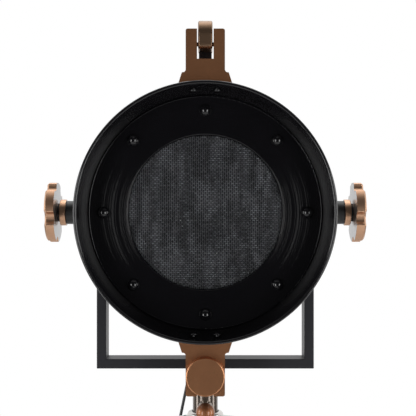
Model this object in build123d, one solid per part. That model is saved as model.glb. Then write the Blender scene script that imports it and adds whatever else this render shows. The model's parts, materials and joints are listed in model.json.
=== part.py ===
from build123d import *
import os
from math import atan2, cos, hypot, pi, radians, sin, sqrt, tan

# A spotlight floor lamp: a round lamp head with a hooded front door, held in a flat-bar yoke
# on a sliding pole in a folding tripod. Millimetres, +Z up, the lamp shines towards -Y.
# The origin is on the floor, at the middle of the tripod's footprint.

# Fits shared by every piece
RUN = 0.05          # radial play of a pin, shaft or screw that turns or slides in its hole
SEAT = 0.3          # gap between faces of pieces that move past each other
TOUCH = 0.05        # gap under a saddle or plug that is seated on a curved face

# Tripod
LEG_LENGTH = 1068.0     # hinge bolt to floor, along the leg
LEG_SPREAD = 21.0       # degrees from upright
LEG_PIVOT_R = 36.0      # hinge bolt to pole axis
LEG_TUBE_R = 12.5
LEG_TUBE_WALL = 1.5
LEG_TUBE_TOP = 36.0     # tube starts this far below the hinge bolt
LEG_TUBE_SHORT = 14.0   # tube stops this far above the floor, along the leg
KNUCKLE_R = 11.0
KNUCKLE_W = 15.4
KNUCKLE_NECK = 17.6     # depth of the neck below the eye
KNUCKLE_SPIGOT = 30.0
KNUCKLE_FLANGE = 8.0
FOOT_R = 17.0
FOOT_GRIP = 46.0        # length of the rubber foot along the leg
FOOT_EDGE = 3.6
LEG_AZIMUTHS = {"left": 210.0, "right": 330.0, "rear": 90.0}
WING_SIDES = {"left": -1, "right": 1, "rear": -1}
EAR_T = 6.5
EAR_R = 12.0
EAR_BELOW = 18.0        # ears reach this far below the hinge bolts
HINGE_BOLT_R = 4.0
BOLT_HEAD_R = 7.0
BOLT_HEAD_T = 4.5
WING_BOSS_R = 7.0
WING_BOSS_T = 8.0
WING_SPAN = 14.0
WING_T = 3.0
BOLT_TAIL = 2.0         # bolt past its wing nut

# Hub and sliding pole
HUB_R = 23.0
HUB_H = 86.0
HUB_RISE = 17.9         # hub's top face above the hinge bolts
HUB_EDGE = 5.0
BUSH_T = 1.5
BUSH_LIP = 1.5
BUSH_LIP_T = 2.0
POLE_R = 16.0
POLE_WALL = 2.0
POLE_STROKE = 350.0
POLE_SPARE = 40.0       # pole left below the hub when it is fully raised
CAP_LIP = 2.5
CAP_LIP_T = 4.0
CAP_PLUG = 15.0
CLAMP_RISE = 26.0       # height screw above the hinge bolts
CLAMP_BOSS_R = 9.0
CLAMP_BOSS_Y = 34.0     # front of the boss, from the pole axis
CLAMP_BOSS_FOOT = 14.0  # root of the boss below the hub's top
CLAMP_SCREW_R = 4.0
CLAMP_SCREW_END = 14.0  # screw inside its knob
CLAMP_KNOB_R = 11.7
CLAMP_KNOB_BACK_R = 10.6
CLAMP_KNOB_RIM = 6.3    # widest place from the knob's back
CLAMP_NECK_R = 7.5
CLAMP_NECK = 6.0
CLAMP_HEAD = 18.0

# Yoke and its swivel
POLE_RISE = 74.5        # hinge bolts to the underside of the yoke's bottom bar
YOKE_GAP = 12.0         # can's side to the inside of the yoke
YOKE_T = 12.0
YOKE_DEPTH = 33.0
YOKE_BELOW = 46.8       # underside of the bottom bar from the rim bead's circle
SWIVEL_W = 46.0
SWIVEL_WALL = 6.5       # swivel block outside the bar, on each side of it
SWIVEL_NECK_R = 21.0
SWIVEL_NECK = 20.0
SWIVEL_FLOOR = 1.5      # metal above the pole's end
SWIVEL_CORNER = 4.0
SWIVEL_BOLT_R = 2.5
SWIVEL_BOLT_HEAD_R = 4.0
SWIVEL_BOLT_HEAD_T = 3.0
SWIVEL_BOLT_X = 16.0

# Tilt knobs and trunnions
STUD_R = 6.0
STUD_NUT_R = 11.0
STUD_NUT_T = 5.0
BOSS_R = 20.0
WASHER_R = 18.0
WASHER_T = 3.0
SPACER_R = 14.8
SPACER_L = 39.5
KNOB_R = 38.0
KNOB_T = 12.0
KNOB_COLLAR_R = 16.6
KNOB_COLLAR_L = 8.0
KNOB_COLLAR_EDGE = 1.0
KNOB_NECK_R = 11.5
KNOB_NECK_L = 3.5   # between the collar and the star
KNOB_LOBES = 5
KNOB_SCALLOP_R = 8.0
KNOB_SCALLOP_OUT = 1.5  # scallop centres outside the knob's edge
KNOB_FIRST_SCALLOP = 11.0  # degrees below straight ahead
KNOB_LOBE_CORNER = 2.0
KNOB_BORE_END = 5.5     # metal left outside the knob's blind bore
KNOB_EDGE = 2.0

# Front door: hood, bezel, mesh and glass
RIM_AHEAD = 117.0       # rim bead's centre ahead of the tilt axis
RIM_R = 150.2           # rim bead's centre circle
RIM_BEAD_R = 2.2
HOOD_WALL = 2.0
HOOD_DEPTH = 50.0       # bead centre to the back of the hood
HOOD_STEP = 25.0        # inside of the wall at the back, outside the can's side
BEZEL_DEPTH = 39.0      # bead centre to the bezel's front face
BEZEL_T = 2.5
BEZEL_BEAD_R = 0.9
BEZEL_BEAD_IN = 1.0     # bead's centre circle inside the bezel's edge
BEZEL_REACH = 21.0      # edge of the opening inside the can's side
LIP_R = 3.0
GLASS_LAP = 14.0        # glass outside the opening's edge
GLASS_SEAT = 6.0        # hood's back wall inside the glass's edge
GLASS_T = 2.6
GASKET_IN = 1.0         # gasket outside the glass's edge
GASKET_OUT = 4.0        # gasket inside the hood's wall
MESH_T = 0.8
MESH_RIM = 5.0
MESH_PITCH = 13.0
MESH_WIRE = 1.6
SCREW_COUNT = 8
SCREW_OUT = 8.6         # screws' circle outside the can's side
SCREW_R = 3.0
DOME_R = 7.2
DOME_H = 7.0
DOME_RIM = 1.6
SCREW_NUT_R = 5.5
SCREW_NUT_T = 3.5

# Clevises on the hood, the hinge and the latch
CLEVIS_W = 46.5
CLEVIS_T = 12.0
CLEVIS_BEHIND_RIM = 36.0    # clevis's middle plane behind the bead's centre
CLEVIS_OUT = 67.5           # prong ends outside the rim bead's circle
CLEVIS_CORNER = 2.5
SLOT_W = 19.8
SLOT_OUT = 31.8             # slot's floor outside the rim bead's circle
SHOULDER_OUT = 15.8         # shoulder of the flared base outside the rim bead's circle
SHOULDER_W = 55.5
SHOULDER_COVE = 3.5
SHOULDER_EDGE = 1.0
FLARE = 18.0                # degrees from upright
SADDLE_W = 61.0
SADDLE_T = 3.5
SADDLE_AHEAD = 26.0         # saddle ahead of the clevis's middle plane
SADDLE_BEHIND = 10.0
RIVET_X = 14.0
RIVET_AHEAD = 19.0
RIVET_R = 2.0
RIVET_HEAD_R = 5.0
RIVET_HEAD_T = 2.4
RIVET_HEAD_EDGE = 2.1
PIN_R = 2.5
PIN_OUT = 49.8              # hinge pin outside the rim bead's circle
ARM_W = 17.2
ARM_EYE_R = 5.5
ARM_RISE = 30.7             # top of the hinge arm from the pin
ARM_BACK = 35.0             # back of the hinge arm behind the pin
ARM_EDGE = 2.0
WEB_W = 15.6
WEB_T = 20.0
LUG_T = 16.0
BRACKET_FOOT_W = 44.0
BRACKET_FOOT_L = 40.0
BRACKET_FOOT_T = 4.0
BRACKET_BACK_OFF = 4.0      # bracket web behind the hood's back face, clear of the screws' nuts
LATCH_OUT = 42.8            # latch bolt outside the rim bead's circle
LATCH_R = 5.0
LATCH_PLAY = 0.7            # play of the bolt in the lug, which lets the door swing out
LATCH_GRIP = 10.0
LATCH_COLLAR_R = 14.0
LATCH_COLLAR_T = 3.0
LATCH_KNOB_R = 22.9
LATCH_KNOB_T = 11.0
LATCH_KNOB_BEVEL = 1.0
LATCH_KNOB_BORE = 8.0
LUG_BELOW = 8.0

# Lamp can
CAN_R = 113.0
CAN_WALL = 2.0
CAN_BEHIND = 95.0           # can's rear edge behind the tilt axis
DOME_BACK = 55.0            # length of the rear dome
DOME_END_R = 40.0
DOME_MID = (37.0, 21.0)     # a point on the dome's curve: behind its edge, inside its edge
DOME_SPIGOT = 12.0
VENT_W = 6.0
VENT_L = 36.0
VENT_Y = 60.0
VENT_ANGLES = (-60, -40, -20, 0, 20, 40, 60, 130, 150, 210, 230)
BACK_SCREW_R = 2.0
BACK_SCREW_HEAD_R = 4.0
BACK_SCREW_HEAD_T = 2.5
BACK_SCREW_HEAD_EDGE = 1.5
BACK_SCREW_ANGLES = (45, 135, 225, 315)
BACK_SCREW_IN = 6.0         # screws ahead of the can's rear edge

# Inside the can
REFLECTOR_T = 1.0
REFLECTOR_GAP = 7.0         # bowl's edge inside the can's wall
REFLECTOR_AHEAD = 60.0
REFLECTOR_BEHIND = 38.0
REFLECTOR_HOLE = 24.0
REFLECTOR_MID = (2.0, 26.0)  # a point on the bowl's curve: behind the tilt axis, inside its edge
REFLECTOR_SLOPE = 66.0      # degrees between the lamp's axis and the wall's normal there
SOCKET_R = 21.0
SOCKET_Y0 = 28.0
SOCKET_L = 44.0
SOCKET_BORE = 28.0
STRAP_T = 3.0
STRAP_W = 24.0
BULB_CAP_R = 13.4
BULB_CAP_L = 29.0
BULB_R = 30.0
BULB_L = 62.0
BULB_WALL = 1.2
BULB_SHOULDER = (0.6, 0.8)  # middle of the shoulder: part of the way to the neck, part of the radius
SWITCH_R = 6.0
SWITCH_NUT_R = 9.0
SWITCH_NUT_T = 3.0
SWITCH_OUT = 8.0            # bush past the rear dome
SWITCH_BODY = (24.0, 26.0, 13.0)
SWITCH_BORE_R = 4.2
SWITCH_BORE = 6.0
LEVER_R = 2.0
LEVER_TIP_R = 3.0
LEVER_L = 18.0
LEVER_LEAN = 12.0

# Cord
CORD_R = 2.0
BEND_SHARE = 0.45           # part of a straight run that each of its bends may take
GLAND_Y = 55.0              # behind the tilt axis
GLAND_R = 6.0
GLAND_FLANGE_R = 9.0
GLAND_FLANGE_T = 5.0
GLAND_NUT_T = 5.0
GLAND_BOOT = 25.0
GLAND_BOOT_R = 6.5
GLAND_TIP_R = 3.2
GLAND_LEAN = 12.0           # boot leans to the side that the cord hangs to
COIL_AT = (-293.5, -52.25)
COIL_MEAN_R = 24.0
COIL_TURNS = 4              # in each of the two layers
COIL_PITCH = 4.6
COIL_LEAD = 4.0
COIL_TAIL = 40.0
TIE_T = 0.8
TIE_W = 8.0
TIE_PLAY = 0.2
PLUG_W = 24.0
PLUG_L = 34.0
PLUG_TAPER = 20.0
PLUG_NOSE = 14.0
PLUG_PIN = (16.0, 1.5, 6.3)
PLUG_PIN_GAP = 12.7

# The cord from the boot to the coil, point by point
CORD_ROUTE = [
    (-5.2, -50.13, 1126.0), (-11.4, -50.13, 1096.7), (-19.6, -49.6, 1059.6), (-30.5, -48.8, 1010.0),
    (-42.0, -47.7, 950.5), (-52.2, -46.4, 890.0), (-60.8, -45.0, 830.0), (-67.9, -43.5, 771.5),
    (-73.9, -42.0, 713.6), (-79.1, -40.5, 655.6), (-83.8, -39.0, 597.6), (-88.2, -37.6, 539.5),
    (-92.9, -36.2, 481.4), (-98.1, -34.8, 423.4), (-104.0, -33.3, 365.4), (-110.8, -31.8, 307.5),
    (-118.8, -30.2, 249.8), (-128.4, -28.6, 193.2), (-140.3, -26.9, 139.8), (-155.2, -25.2, 94.2),
    (-174.9, -23.6, 57.2), (-200.3, -22.2, 29.0), (-229.1, -21.0, 11.0), (-259.5, -20.2, 3.0),
    (-289.5, -20.2, 3.0),
]

# Places that follow from the sizes above
PIVOT_Z = LEG_LENGTH * cos(radians(LEG_SPREAD))
FOOT_CIRCLE_R = LEG_PIVOT_R + LEG_LENGTH * sin(radians(LEG_SPREAD))
FOOT_LONG_R = FOOT_R / cos(radians(LEG_SPREAD))
FRONT_TURN = radians(LEG_AZIMUTHS["left"] - 180)
FRONT_FOOT_Y = hypot(FOOT_LONG_R * sin(FRONT_TURN), FOOT_R * cos(FRONT_TURN))
POLE_Y = -(FOOT_CIRCLE_R * (1 - sin(FRONT_TURN)) + FOOT_LONG_R - FRONT_FOOT_Y) / 2
YOKE_DROP = RIM_R + YOKE_BELOW
TILT_Z = PIVOT_Z + POLE_RISE + YOKE_DROP
EAR_GAP = KNUCKLE_W + 2 * SEAT
EAR_OUT = EAR_GAP / 2 + EAR_T
HUB_TOP = PIVOT_Z + HUB_RISE
HUB_BOTTOM = HUB_TOP - HUB_H
BUSH_R = POLE_R + BUSH_T
BUSH_LIP_R = BUSH_R + BUSH_LIP
CLAMP_Z = PIVOT_Z + CLAMP_RISE
CLAMP_KNOB_Y = CLAMP_BOSS_Y + SEAT

CAN_IN = CAN_R - CAN_WALL
YOKE_IN = CAN_R + YOKE_GAP
YOKE_OUT = YOKE_IN + YOKE_T
BAR_TOP = -YOKE_DROP + YOKE_T
SWIVEL_TOP = BAR_TOP + SWIVEL_WALL
SWIVEL_SPLIT = -YOKE_DROP + YOKE_T / 2
SWIVEL_BASE = -YOKE_DROP - SWIVEL_WALL
SWIVEL_Y = YOKE_DEPTH / 2 + SWIVEL_WALL
SWIVEL_END = SWIVEL_BASE - SWIVEL_NECK
POLE_TOP = TILT_Z + SWIVEL_BASE - SWIVEL_FLOOR - SEAT
POLE_BOTTOM = HUB_BOTTOM - POLE_STROKE - POLE_SPARE

KNOB_IN = YOKE_OUT + SPACER_L + SEAT
KNOB_FACE = KNOB_IN + KNOB_COLLAR_L + KNOB_NECK_L
KNOB_OUT = KNOB_FACE + KNOB_T
BOSS_OUT = YOKE_IN - WASHER_T - 2 * TOUCH

HOOD_BACK_R = CAN_R + HOOD_STEP
OPENING_R = CAN_R - BEZEL_REACH
GLASS_R = OPENING_R + GLASS_LAP
WINDOW_R = GLASS_R - GLASS_SEAT
SCREW_CIRCLE_R = CAN_R + SCREW_OUT
RIM_Y = -RIM_AHEAD
HOOD_BACK_Y = RIM_Y + HOOD_DEPTH
BEZEL_Y = RIM_Y + BEZEL_DEPTH
BEZEL_BACK_Y = BEZEL_Y + BEZEL_T
LEDGE_Y = HOOD_BACK_Y - HOOD_WALL
GLASS_Y = LEDGE_Y - TOUCH - GLASS_T
MESH_Y = GLASS_Y - TOUCH - MESH_T
CLEVIS_Y = RIM_Y + CLEVIS_BEHIND_RIM
CLEVIS_TOP = RIM_R + CLEVIS_OUT
SLOT_FLOOR = RIM_R + SLOT_OUT
SHOULDER_AT = RIM_R + SHOULDER_OUT
PIN_AT = RIM_R + PIN_OUT
LATCH_AT = RIM_R + LATCH_OUT
WEB_Y = HOOD_BACK_Y + BRACKET_BACK_OFF
ARM_FLOOR = PIN_AT - ARM_EYE_R
ARM_TOP = PIN_AT + ARM_RISE
CAN_FRONT_Y = HOOD_BACK_Y + SEAT
DOME_END_Y = CAN_BEHIND + DOME_BACK
REFLECTOR_RIM = CAN_IN - REFLECTOR_GAP
STRAP_Y = SOCKET_Y0 + SOCKET_L
COIL_Z = CORD_R + TIE_T + TIE_PLAY
COIL_OUT_R = COIL_MEAN_R + COIL_PITCH * (2 * COIL_TURNS - 1) / 4

STAND = Pos(0, POLE_Y, 0)
HEAD = Pos(0, POLE_Y, TILT_Z)


def rod_x(radius, x0, x1, y=0.0, z=0.0):
    return Pos((x0 + x1) / 2, y, z) * Rot(0, 90, 0) * Cylinder(radius, abs(x1 - x0))


def rod_y(radius, y0, y1, x=0.0, z=0.0):
    return Pos(x, (y0 + y1) / 2, z) * Rot(90, 0, 0) * Cylinder(radius, abs(y1 - y0))


def rod_z(radius, z0, z1, x=0.0, y=0.0):
    return Pos(x, y, (z0 + z1) / 2) * Cylinder(radius, abs(z1 - z0))


def block(x0, x1, y0, y1, z0, z1):
    centre = Pos((x0 + x1) / 2, (y0 + y1) / 2, (z0 + z1) / 2)
    return centre * Box(abs(x1 - x0), abs(y1 - y0), abs(z1 - z0))


def turned(*edges):
    """A solid turned about the lamp's axis from a closed profile of (y, radius) edges."""
    return revolve(Plane.YZ * make_face(list(edges)), Axis.Y)


def ring(points):
    """A turned ring whose (y, radius) profile has straight sides."""
    return turned(Polyline(*points, close=True))


def cap_arc(rim_y, rim_r, crown_y):
    """Profile of a round cap from its rim to its crown on the axis."""
    height = crown_y - rim_y
    ball = (rim_r**2 + height**2) / (2 * height)
    half = atan2(rim_r, abs(ball - height) if abs(ball) > abs(height) else -abs(ball - height)) / 2
    middle = (crown_y - ball * (1 - cos(half)), abs(ball) * sin(half))
    return ThreePointArc((rim_y, rim_r), middle, (crown_y, 0))


def group(shapes):
    return Compound(children=[solid for shape in shapes for solid in shape.solids()])


def mirrored_pair(shape):
    return group([shape, mirror(shape, Plane.YZ)])


def export(name, shape):
    export_step(shape, f"parts/{name}.step")


# Tripod


def leg_place(azimuth):
    """Puts a piece made round a hinge bolt along Y, leg outwards along X, at its leg."""
    return STAND * Rot(0, 0, azimuth) * Pos(LEG_PIVOT_R, 0, PIVOT_Z)


def leg_lean():
    return Rot(0, -LEG_SPREAD, 0)


def hub_casting():
    collar = rod_z(HUB_R, HUB_BOTTOM, HUB_TOP)
    collar = fillet(collar.edges().sort_by(Axis.Z)[-1], HUB_EDGE)
    boss = rod_y(CLAMP_BOSS_R, -CLAMP_BOSS_Y, 0, z=CLAMP_Z)
    boss += block(-CLAMP_BOSS_R, CLAMP_BOSS_R, -CLAMP_BOSS_Y, 0, HUB_TOP - CLAMP_BOSS_FOOT, CLAMP_Z)
    body = collar + boss
    ear_inner = BUSH_R + TOUCH - LEG_PIVOT_R
    for azimuth in LEG_AZIMUTHS.values():
        place = Rot(0, 0, azimuth) * Pos(LEG_PIVOT_R, 0, PIVOT_Z)
        ear = rod_y(EAR_R, -EAR_OUT, EAR_OUT)
        ear += block(ear_inner, 0, -EAR_OUT, EAR_OUT, -EAR_BELOW, EAR_R)
        slot = block(HUB_R - LEG_PIVOT_R, 2 * EAR_R, -EAR_GAP / 2, EAR_GAP / 2, -2 * EAR_BELOW, 2 * EAR_R)
        body += place * ear
        body -= place * slot
        body -= place * rod_y(HINGE_BOLT_R + RUN, -2 * EAR_OUT, 2 * EAR_OUT)
    body -= rod_z(BUSH_R + TOUCH, HUB_BOTTOM - HUB_H, CLAMP_Z + 2 * CLAMP_BOSS_R)
    body -= rod_y(CLAMP_SCREW_R + RUN, -2 * CLAMP_BOSS_Y, 0, z=CLAMP_Z)
    return STAND * body


def hub_bush():
    """Nylon sleeve in the hub, with its lip under the hub's lower end."""
    body = rod_z(BUSH_R, HUB_BOTTOM, HUB_TOP) + rod_z(BUSH_LIP_R, HUB_BOTTOM - BUSH_LIP_T, HUB_BOTTOM)
    body -= rod_z(POLE_R + RUN, HUB_BOTTOM - HUB_H, HUB_TOP + HUB_H)
    return STAND * body


def leg_bolt(side):
    """Hinge bolt with its head on the side away from its wing nut."""
    head_y = -side * EAR_OUT
    tail_y = side * (EAR_OUT + WING_BOSS_T + SEAT + BOLT_TAIL)
    bolt = rod_y(HINGE_BOLT_R, head_y, tail_y)
    return bolt + rod_y(BOLT_HEAD_R, head_y, head_y - side * BOLT_HEAD_T)


def leg_bolts():
    return group([leg_place(LEG_AZIMUTHS[name]) * leg_bolt(WING_SIDES[name]) for name in LEG_AZIMUTHS])


def wing_nut(side):
    inner = side * (EAR_OUT + SEAT)
    outer = inner + side * WING_BOSS_T
    wings = rod_y(WING_SPAN, inner + side * WING_T, outer)
    wings &= block(-WING_SPAN, WING_SPAN, inner, outer, -WING_T / 2, WING_T / 2)
    nut = rod_y(WING_BOSS_R, inner, outer) + wings
    return nut - rod_y(HINGE_BOLT_R + RUN, inner - side, outer + side)


def leg_knuckle():
    shoulder = -LEG_TUBE_TOP
    spigot_r = LEG_TUBE_R - LEG_TUBE_WALL - TOUCH
    eye = rod_y(KNUCKLE_R, -KNUCKLE_W / 2, KNUCKLE_W / 2)
    neck = block(-KNUCKLE_NECK / 2, KNUCKLE_NECK / 2, -KNUCKLE_W / 2, KNUCKLE_W / 2, shoulder, 0)
    flange = rod_z(LEG_TUBE_R, shoulder, shoulder + KNUCKLE_FLANGE)
    spigot = rod_z(spigot_r, shoulder - KNUCKLE_SPIGOT, shoulder)
    return eye + neck + flange + spigot - rod_y(HINGE_BOLT_R + RUN, -KNUCKLE_W, KNUCKLE_W)


def leg_tube():
    tube = rod_z(LEG_TUBE_R, LEG_TUBE_SHORT - LEG_LENGTH, -LEG_TUBE_TOP)
    return tube - rod_z(LEG_TUBE_R - LEG_TUBE_WALL, -LEG_LENGTH, 0)


def leg_foot():
    """Rubber foot: a sleeve on the leg's end, with a rounded top and a flat sole."""
    top = FOOT_GRIP - LEG_LENGTH
    sleeve = rod_z(FOOT_R, -LEG_LENGTH - FOOT_R, top)
    sleeve = fillet(sleeve.edges().sort_by(Axis.Z)[-1], FOOT_EDGE)
    return sleeve - rod_z(LEG_TUBE_R + TOUCH, LEG_TUBE_SHORT - LEG_LENGTH, top + FOOT_GRIP)


def export_tripod():
    export("hub_casting", hub_casting())
    export("hub_bush", hub_bush())
    export("leg_bolts", leg_bolts())
    below_floor = block(-LEG_LENGTH, LEG_LENGTH, -LEG_LENGTH, LEG_LENGTH, -LEG_LENGTH, 0)
    for name, azimuth in LEG_AZIMUTHS.items():
        place = leg_place(azimuth)
        leg = place * leg_lean()
        export(f"{name}_leg_knuckle", leg * leg_knuckle())
        export(f"{name}_leg_tube", leg * leg_tube())
        export(f"{name}_leg_foot", leg * leg_foot() - below_floor)
        export(f"{name}_wing_nut", place * wing_nut(WING_SIDES[name]))


# Sliding pole and its clamp


def pole_tube():
    tube = rod_z(POLE_R, POLE_BOTTOM, POLE_TOP)
    return STAND * (tube - rod_z(POLE_R - POLE_WALL, POLE_BOTTOM - POLE_R, POLE_TOP + POLE_R))


def pole_end_cap():
    lip = rod_z(POLE_R + CAP_LIP, POLE_BOTTOM - CAP_LIP_T, POLE_BOTTOM)
    return STAND * (lip + rod_z(POLE_R - POLE_WALL - TOUCH, POLE_BOTTOM, POLE_BOTTOM + CAP_PLUG))


def height_screw():
    tip = -(POLE_R + SEAT)
    return STAND * rod_y(CLAMP_SCREW_R, tip, -(CLAMP_KNOB_Y + CLAMP_SCREW_END), z=CLAMP_Z)


def height_knob():
    back = -CLAMP_KNOB_Y
    throat = back - CLAMP_NECK
    front = throat - CLAMP_HEAD
    rim = throat - CLAMP_KNOB_RIM
    body = turned(
        Polyline(
            (front, 0), (back, 0), (back, CLAMP_NECK_R), (throat, CLAMP_NECK_R),
            (throat, CLAMP_KNOB_BACK_R), (rim, CLAMP_KNOB_R),
        ),
        cap_arc(rim, CLAMP_KNOB_R, front),
    )
    body -= rod_y(CLAMP_SCREW_R + TOUCH, -(CLAMP_KNOB_Y + CLAMP_SCREW_END), 0)
    return STAND * Pos(0, 0, CLAMP_Z) * body


def export_pole():
    export("pole_tube", pole_tube())
    export("pole_end_cap", pole_end_cap())
    export("height_screw", height_screw())
    export("height_knob", height_knob())


# Yoke


def yoke_bar():
    half = YOKE_DEPTH / 2
    bar = block(-YOKE_OUT, YOKE_OUT, -half, half, -YOKE_DROP, 0)
    bar += rod_x(half, -YOKE_OUT, YOKE_OUT)
    bar -= block(-YOKE_IN, YOKE_IN, -YOKE_DEPTH, YOKE_DEPTH, BAR_TOP, YOKE_DEPTH)
    return bar - rod_x(STUD_R + RUN, -2 * YOKE_OUT, 2 * YOKE_OUT)


def swivel_half(z0, z1):
    half = SWIVEL_W / 2
    body = block(-half, half, -SWIVEL_Y, SWIVEL_Y, z0, z1)
    body = fillet(body.edges().filter_by(Axis.Z), SWIVEL_CORNER)
    channel = YOKE_DEPTH / 2 + TOUCH
    return body - block(-SWIVEL_W, SWIVEL_W, -channel, channel, -YOKE_DROP, BAR_TOP)


def swivel_bolt_places():
    y = YOKE_DEPTH / 2 + SWIVEL_WALL / 2
    return [Pos(sx * SWIVEL_BOLT_X, sy * y, 0) for sx in (-1, 1) for sy in (-1, 1)]


def swivel_holes():
    return [place * rod_z(SWIVEL_BOLT_R + TOUCH, SWIVEL_BASE, 0) for place in swivel_bolt_places()]


def swivel_cap():
    return swivel_half(SWIVEL_SPLIT, SWIVEL_TOP) - swivel_holes()


def swivel_body():
    body = swivel_half(SWIVEL_BASE, SWIVEL_SPLIT) - swivel_holes()
    body += rod_z(SWIVEL_NECK_R, SWIVEL_END, SWIVEL_BASE)
    return body - rod_z(POLE_R + RUN, SWIVEL_END - SWIVEL_NECK, SWIVEL_BASE - SWIVEL_FLOOR)


def swivel_bolts():
    shank = rod_z(SWIVEL_BOLT_R, SWIVEL_BASE + TOUCH, SWIVEL_TOP)
    head = Pos(0, 0, SWIVEL_TOP) * extrude(RegularPolygon(SWIVEL_BOLT_HEAD_R, 6), SWIVEL_BOLT_HEAD_T)
    return group([place * (shank + head) for place in swivel_bolt_places()])


def friction_washers():
    washer = rod_x(WASHER_R, YOKE_IN - TOUCH - WASHER_T, YOKE_IN - TOUCH)
    return mirrored_pair(washer - rod_x(STUD_R + SEAT, 0, YOKE_OUT))


def trunnion_spacers():
    spacer = rod_x(SPACER_R, YOKE_OUT, YOKE_OUT + SPACER_L)
    return mirrored_pair(spacer - rod_x(STUD_R + SEAT, 0, 2 * YOKE_OUT))


def tilt_knob():
    """Five-lobed star knob on the right, its collar towards the lamp."""
    disc = Circle(KNOB_R)
    for lobe in range(KNOB_LOBES):
        angle = 180 + KNOB_FIRST_SCALLOP + lobe * 360 / KNOB_LOBES
        disc -= Rot(0, 0, angle) * Pos(KNOB_R + KNOB_SCALLOP_OUT, 0) * Circle(KNOB_SCALLOP_R)
    disc = fillet(disc.vertices(), KNOB_LOBE_CORNER)
    star = extrude(Plane.YZ.offset(KNOB_FACE) * disc, KNOB_T)
    star = chamfer(star.faces().sort_by(Axis.X)[-1].edges(), KNOB_EDGE)
    collar = rod_x(KNOB_COLLAR_R, KNOB_IN, KNOB_IN + KNOB_COLLAR_L)
    collar = fillet(collar.edges().filter_by(GeomType.CIRCLE), KNOB_COLLAR_EDGE)
    body = star + collar + rod_x(KNOB_NECK_R, KNOB_IN + KNOB_COLLAR_L / 2, KNOB_FACE)
    return body - rod_x(STUD_R + RUN, 0, KNOB_OUT - KNOB_BORE_END)


def export_yoke():
    export("yoke_bar", HEAD * yoke_bar())
    export("swivel_cap", HEAD * swivel_cap())
    export("swivel_body", HEAD * swivel_body())
    export("swivel_bolts", HEAD * swivel_bolts())
    export("friction_washers", HEAD * friction_washers())
    export("trunnion_spacers", HEAD * trunnion_spacers())
    knob = tilt_knob()
    export("right_tilt_knob", HEAD * knob)
    export("left_tilt_knob", HEAD * mirror(knob, Plane.YZ))


# Front door


def hood_inside_r(y):
    """Radius inside the hood's tapered wall at a place along the lamp's axis."""
    front = RIM_R - HOOD_WALL / 2
    return front + (HOOD_BACK_R - front) * (y - RIM_Y) / HOOD_DEPTH


def hood_seat_r(y):
    """Radius of a face that is seated on the outside of the hood's wall."""
    return hood_inside_r(y) + HOOD_WALL + TOUCH


def screw_places():
    return [Rot(0, 360 * k / SCREW_COUNT, 0) * Pos(SCREW_CIRCLE_R, 0, 0) for k in range(SCREW_COUNT)]


def rivet_places():
    """Rivet axes, top pair and bottom pair, each with its shank along +Z from the lamp's axis."""
    y = CLEVIS_Y - RIVET_AHEAD
    return [Rot(0, turn, 0) * Pos(x, y, 0) for turn in (0, 180) for x in (-RIVET_X, RIVET_X)]


def hood_shell():
    front, back = hood_inside_r(RIM_Y), hood_inside_r(HOOD_BACK_Y)
    shell = ring([
        (RIM_Y, front), (LEDGE_Y, hood_inside_r(LEDGE_Y)), (LEDGE_Y, WINDOW_R), (HOOD_BACK_Y, WINDOW_R),
        (HOOD_BACK_Y, back + HOOD_WALL), (RIM_Y, front + HOOD_WALL),
    ])
    shell += Pos(0, RIM_Y, 0) * Rot(90, 0, 0) * Torus(RIM_R, RIM_BEAD_R)
    for place in screw_places():
        shell -= place * rod_y(SCREW_R + RUN, RIM_Y, 0)
    for place in rivet_places():
        shell -= place * rod_z(RIVET_R + RUN, 0, CLEVIS_TOP)
    return shell


def bezel_plate():
    edge = hood_inside_r(BEZEL_BACK_Y) - SEAT
    lip_end = MESH_Y - TOUCH
    neck = OPENING_R + BEZEL_T
    curl = LIP_R * (1 - cos(radians(45)))
    plate = turned(
        Polyline(
            (BEZEL_Y, OPENING_R + LIP_R), (BEZEL_Y, edge), (BEZEL_BACK_Y, edge), (BEZEL_BACK_Y, neck),
            (lip_end, neck), (lip_end, OPENING_R), (BEZEL_Y + LIP_R, OPENING_R),
        ),
        ThreePointArc(
            (BEZEL_Y + LIP_R, OPENING_R), (BEZEL_Y + curl, OPENING_R + curl), (BEZEL_Y, OPENING_R + LIP_R)
        ),
    )
    plate += Pos(0, BEZEL_Y, 0) * Rot(90, 0, 0) * Torus(edge - BEZEL_BEAD_IN, BEZEL_BEAD_R)
    for place in screw_places():
        plate -= place * rod_y(SCREW_R + RUN, RIM_Y, 0)
    return plate


def lens_gasket():
    outer = hood_inside_r(LEDGE_Y) - GASKET_OUT
    gasket = ring([
        (BEZEL_BACK_Y, GLASS_R + GASKET_IN), (LEDGE_Y, GLASS_R + GASKET_IN),
        (LEDGE_Y, outer), (BEZEL_BACK_Y, outer),
    ])
    for place in screw_places():
        gasket -= place * rod_y(SCREW_R + RUN, RIM_Y, 0)
    return gasket


def lens_glass():
    return rod_y(GLASS_R, GLASS_Y, GLASS_Y + GLASS_T)


def lens_mesh():
    """Wire grille: a round frame with a square net of square gaps."""
    net = Circle(GLASS_R)
    gap = MESH_PITCH - MESH_WIRE
    reach = GLASS_R - MESH_RIM
    count = int(reach // MESH_PITCH) + 1
    centres = [(k - count) * MESH_PITCH for k in range(2 * count + 1)]
    inside = [(x, z) for x in centres for z in centres if hypot(abs(x) + gap / 2, abs(z) + gap / 2) < reach]
    net -= [Pos(x, z) * Rectangle(gap, gap) for x, z in inside]
    return Pos(0, MESH_Y + MESH_T, 0) * Rot(90, 0, 0) * extrude(net, MESH_T)


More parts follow.
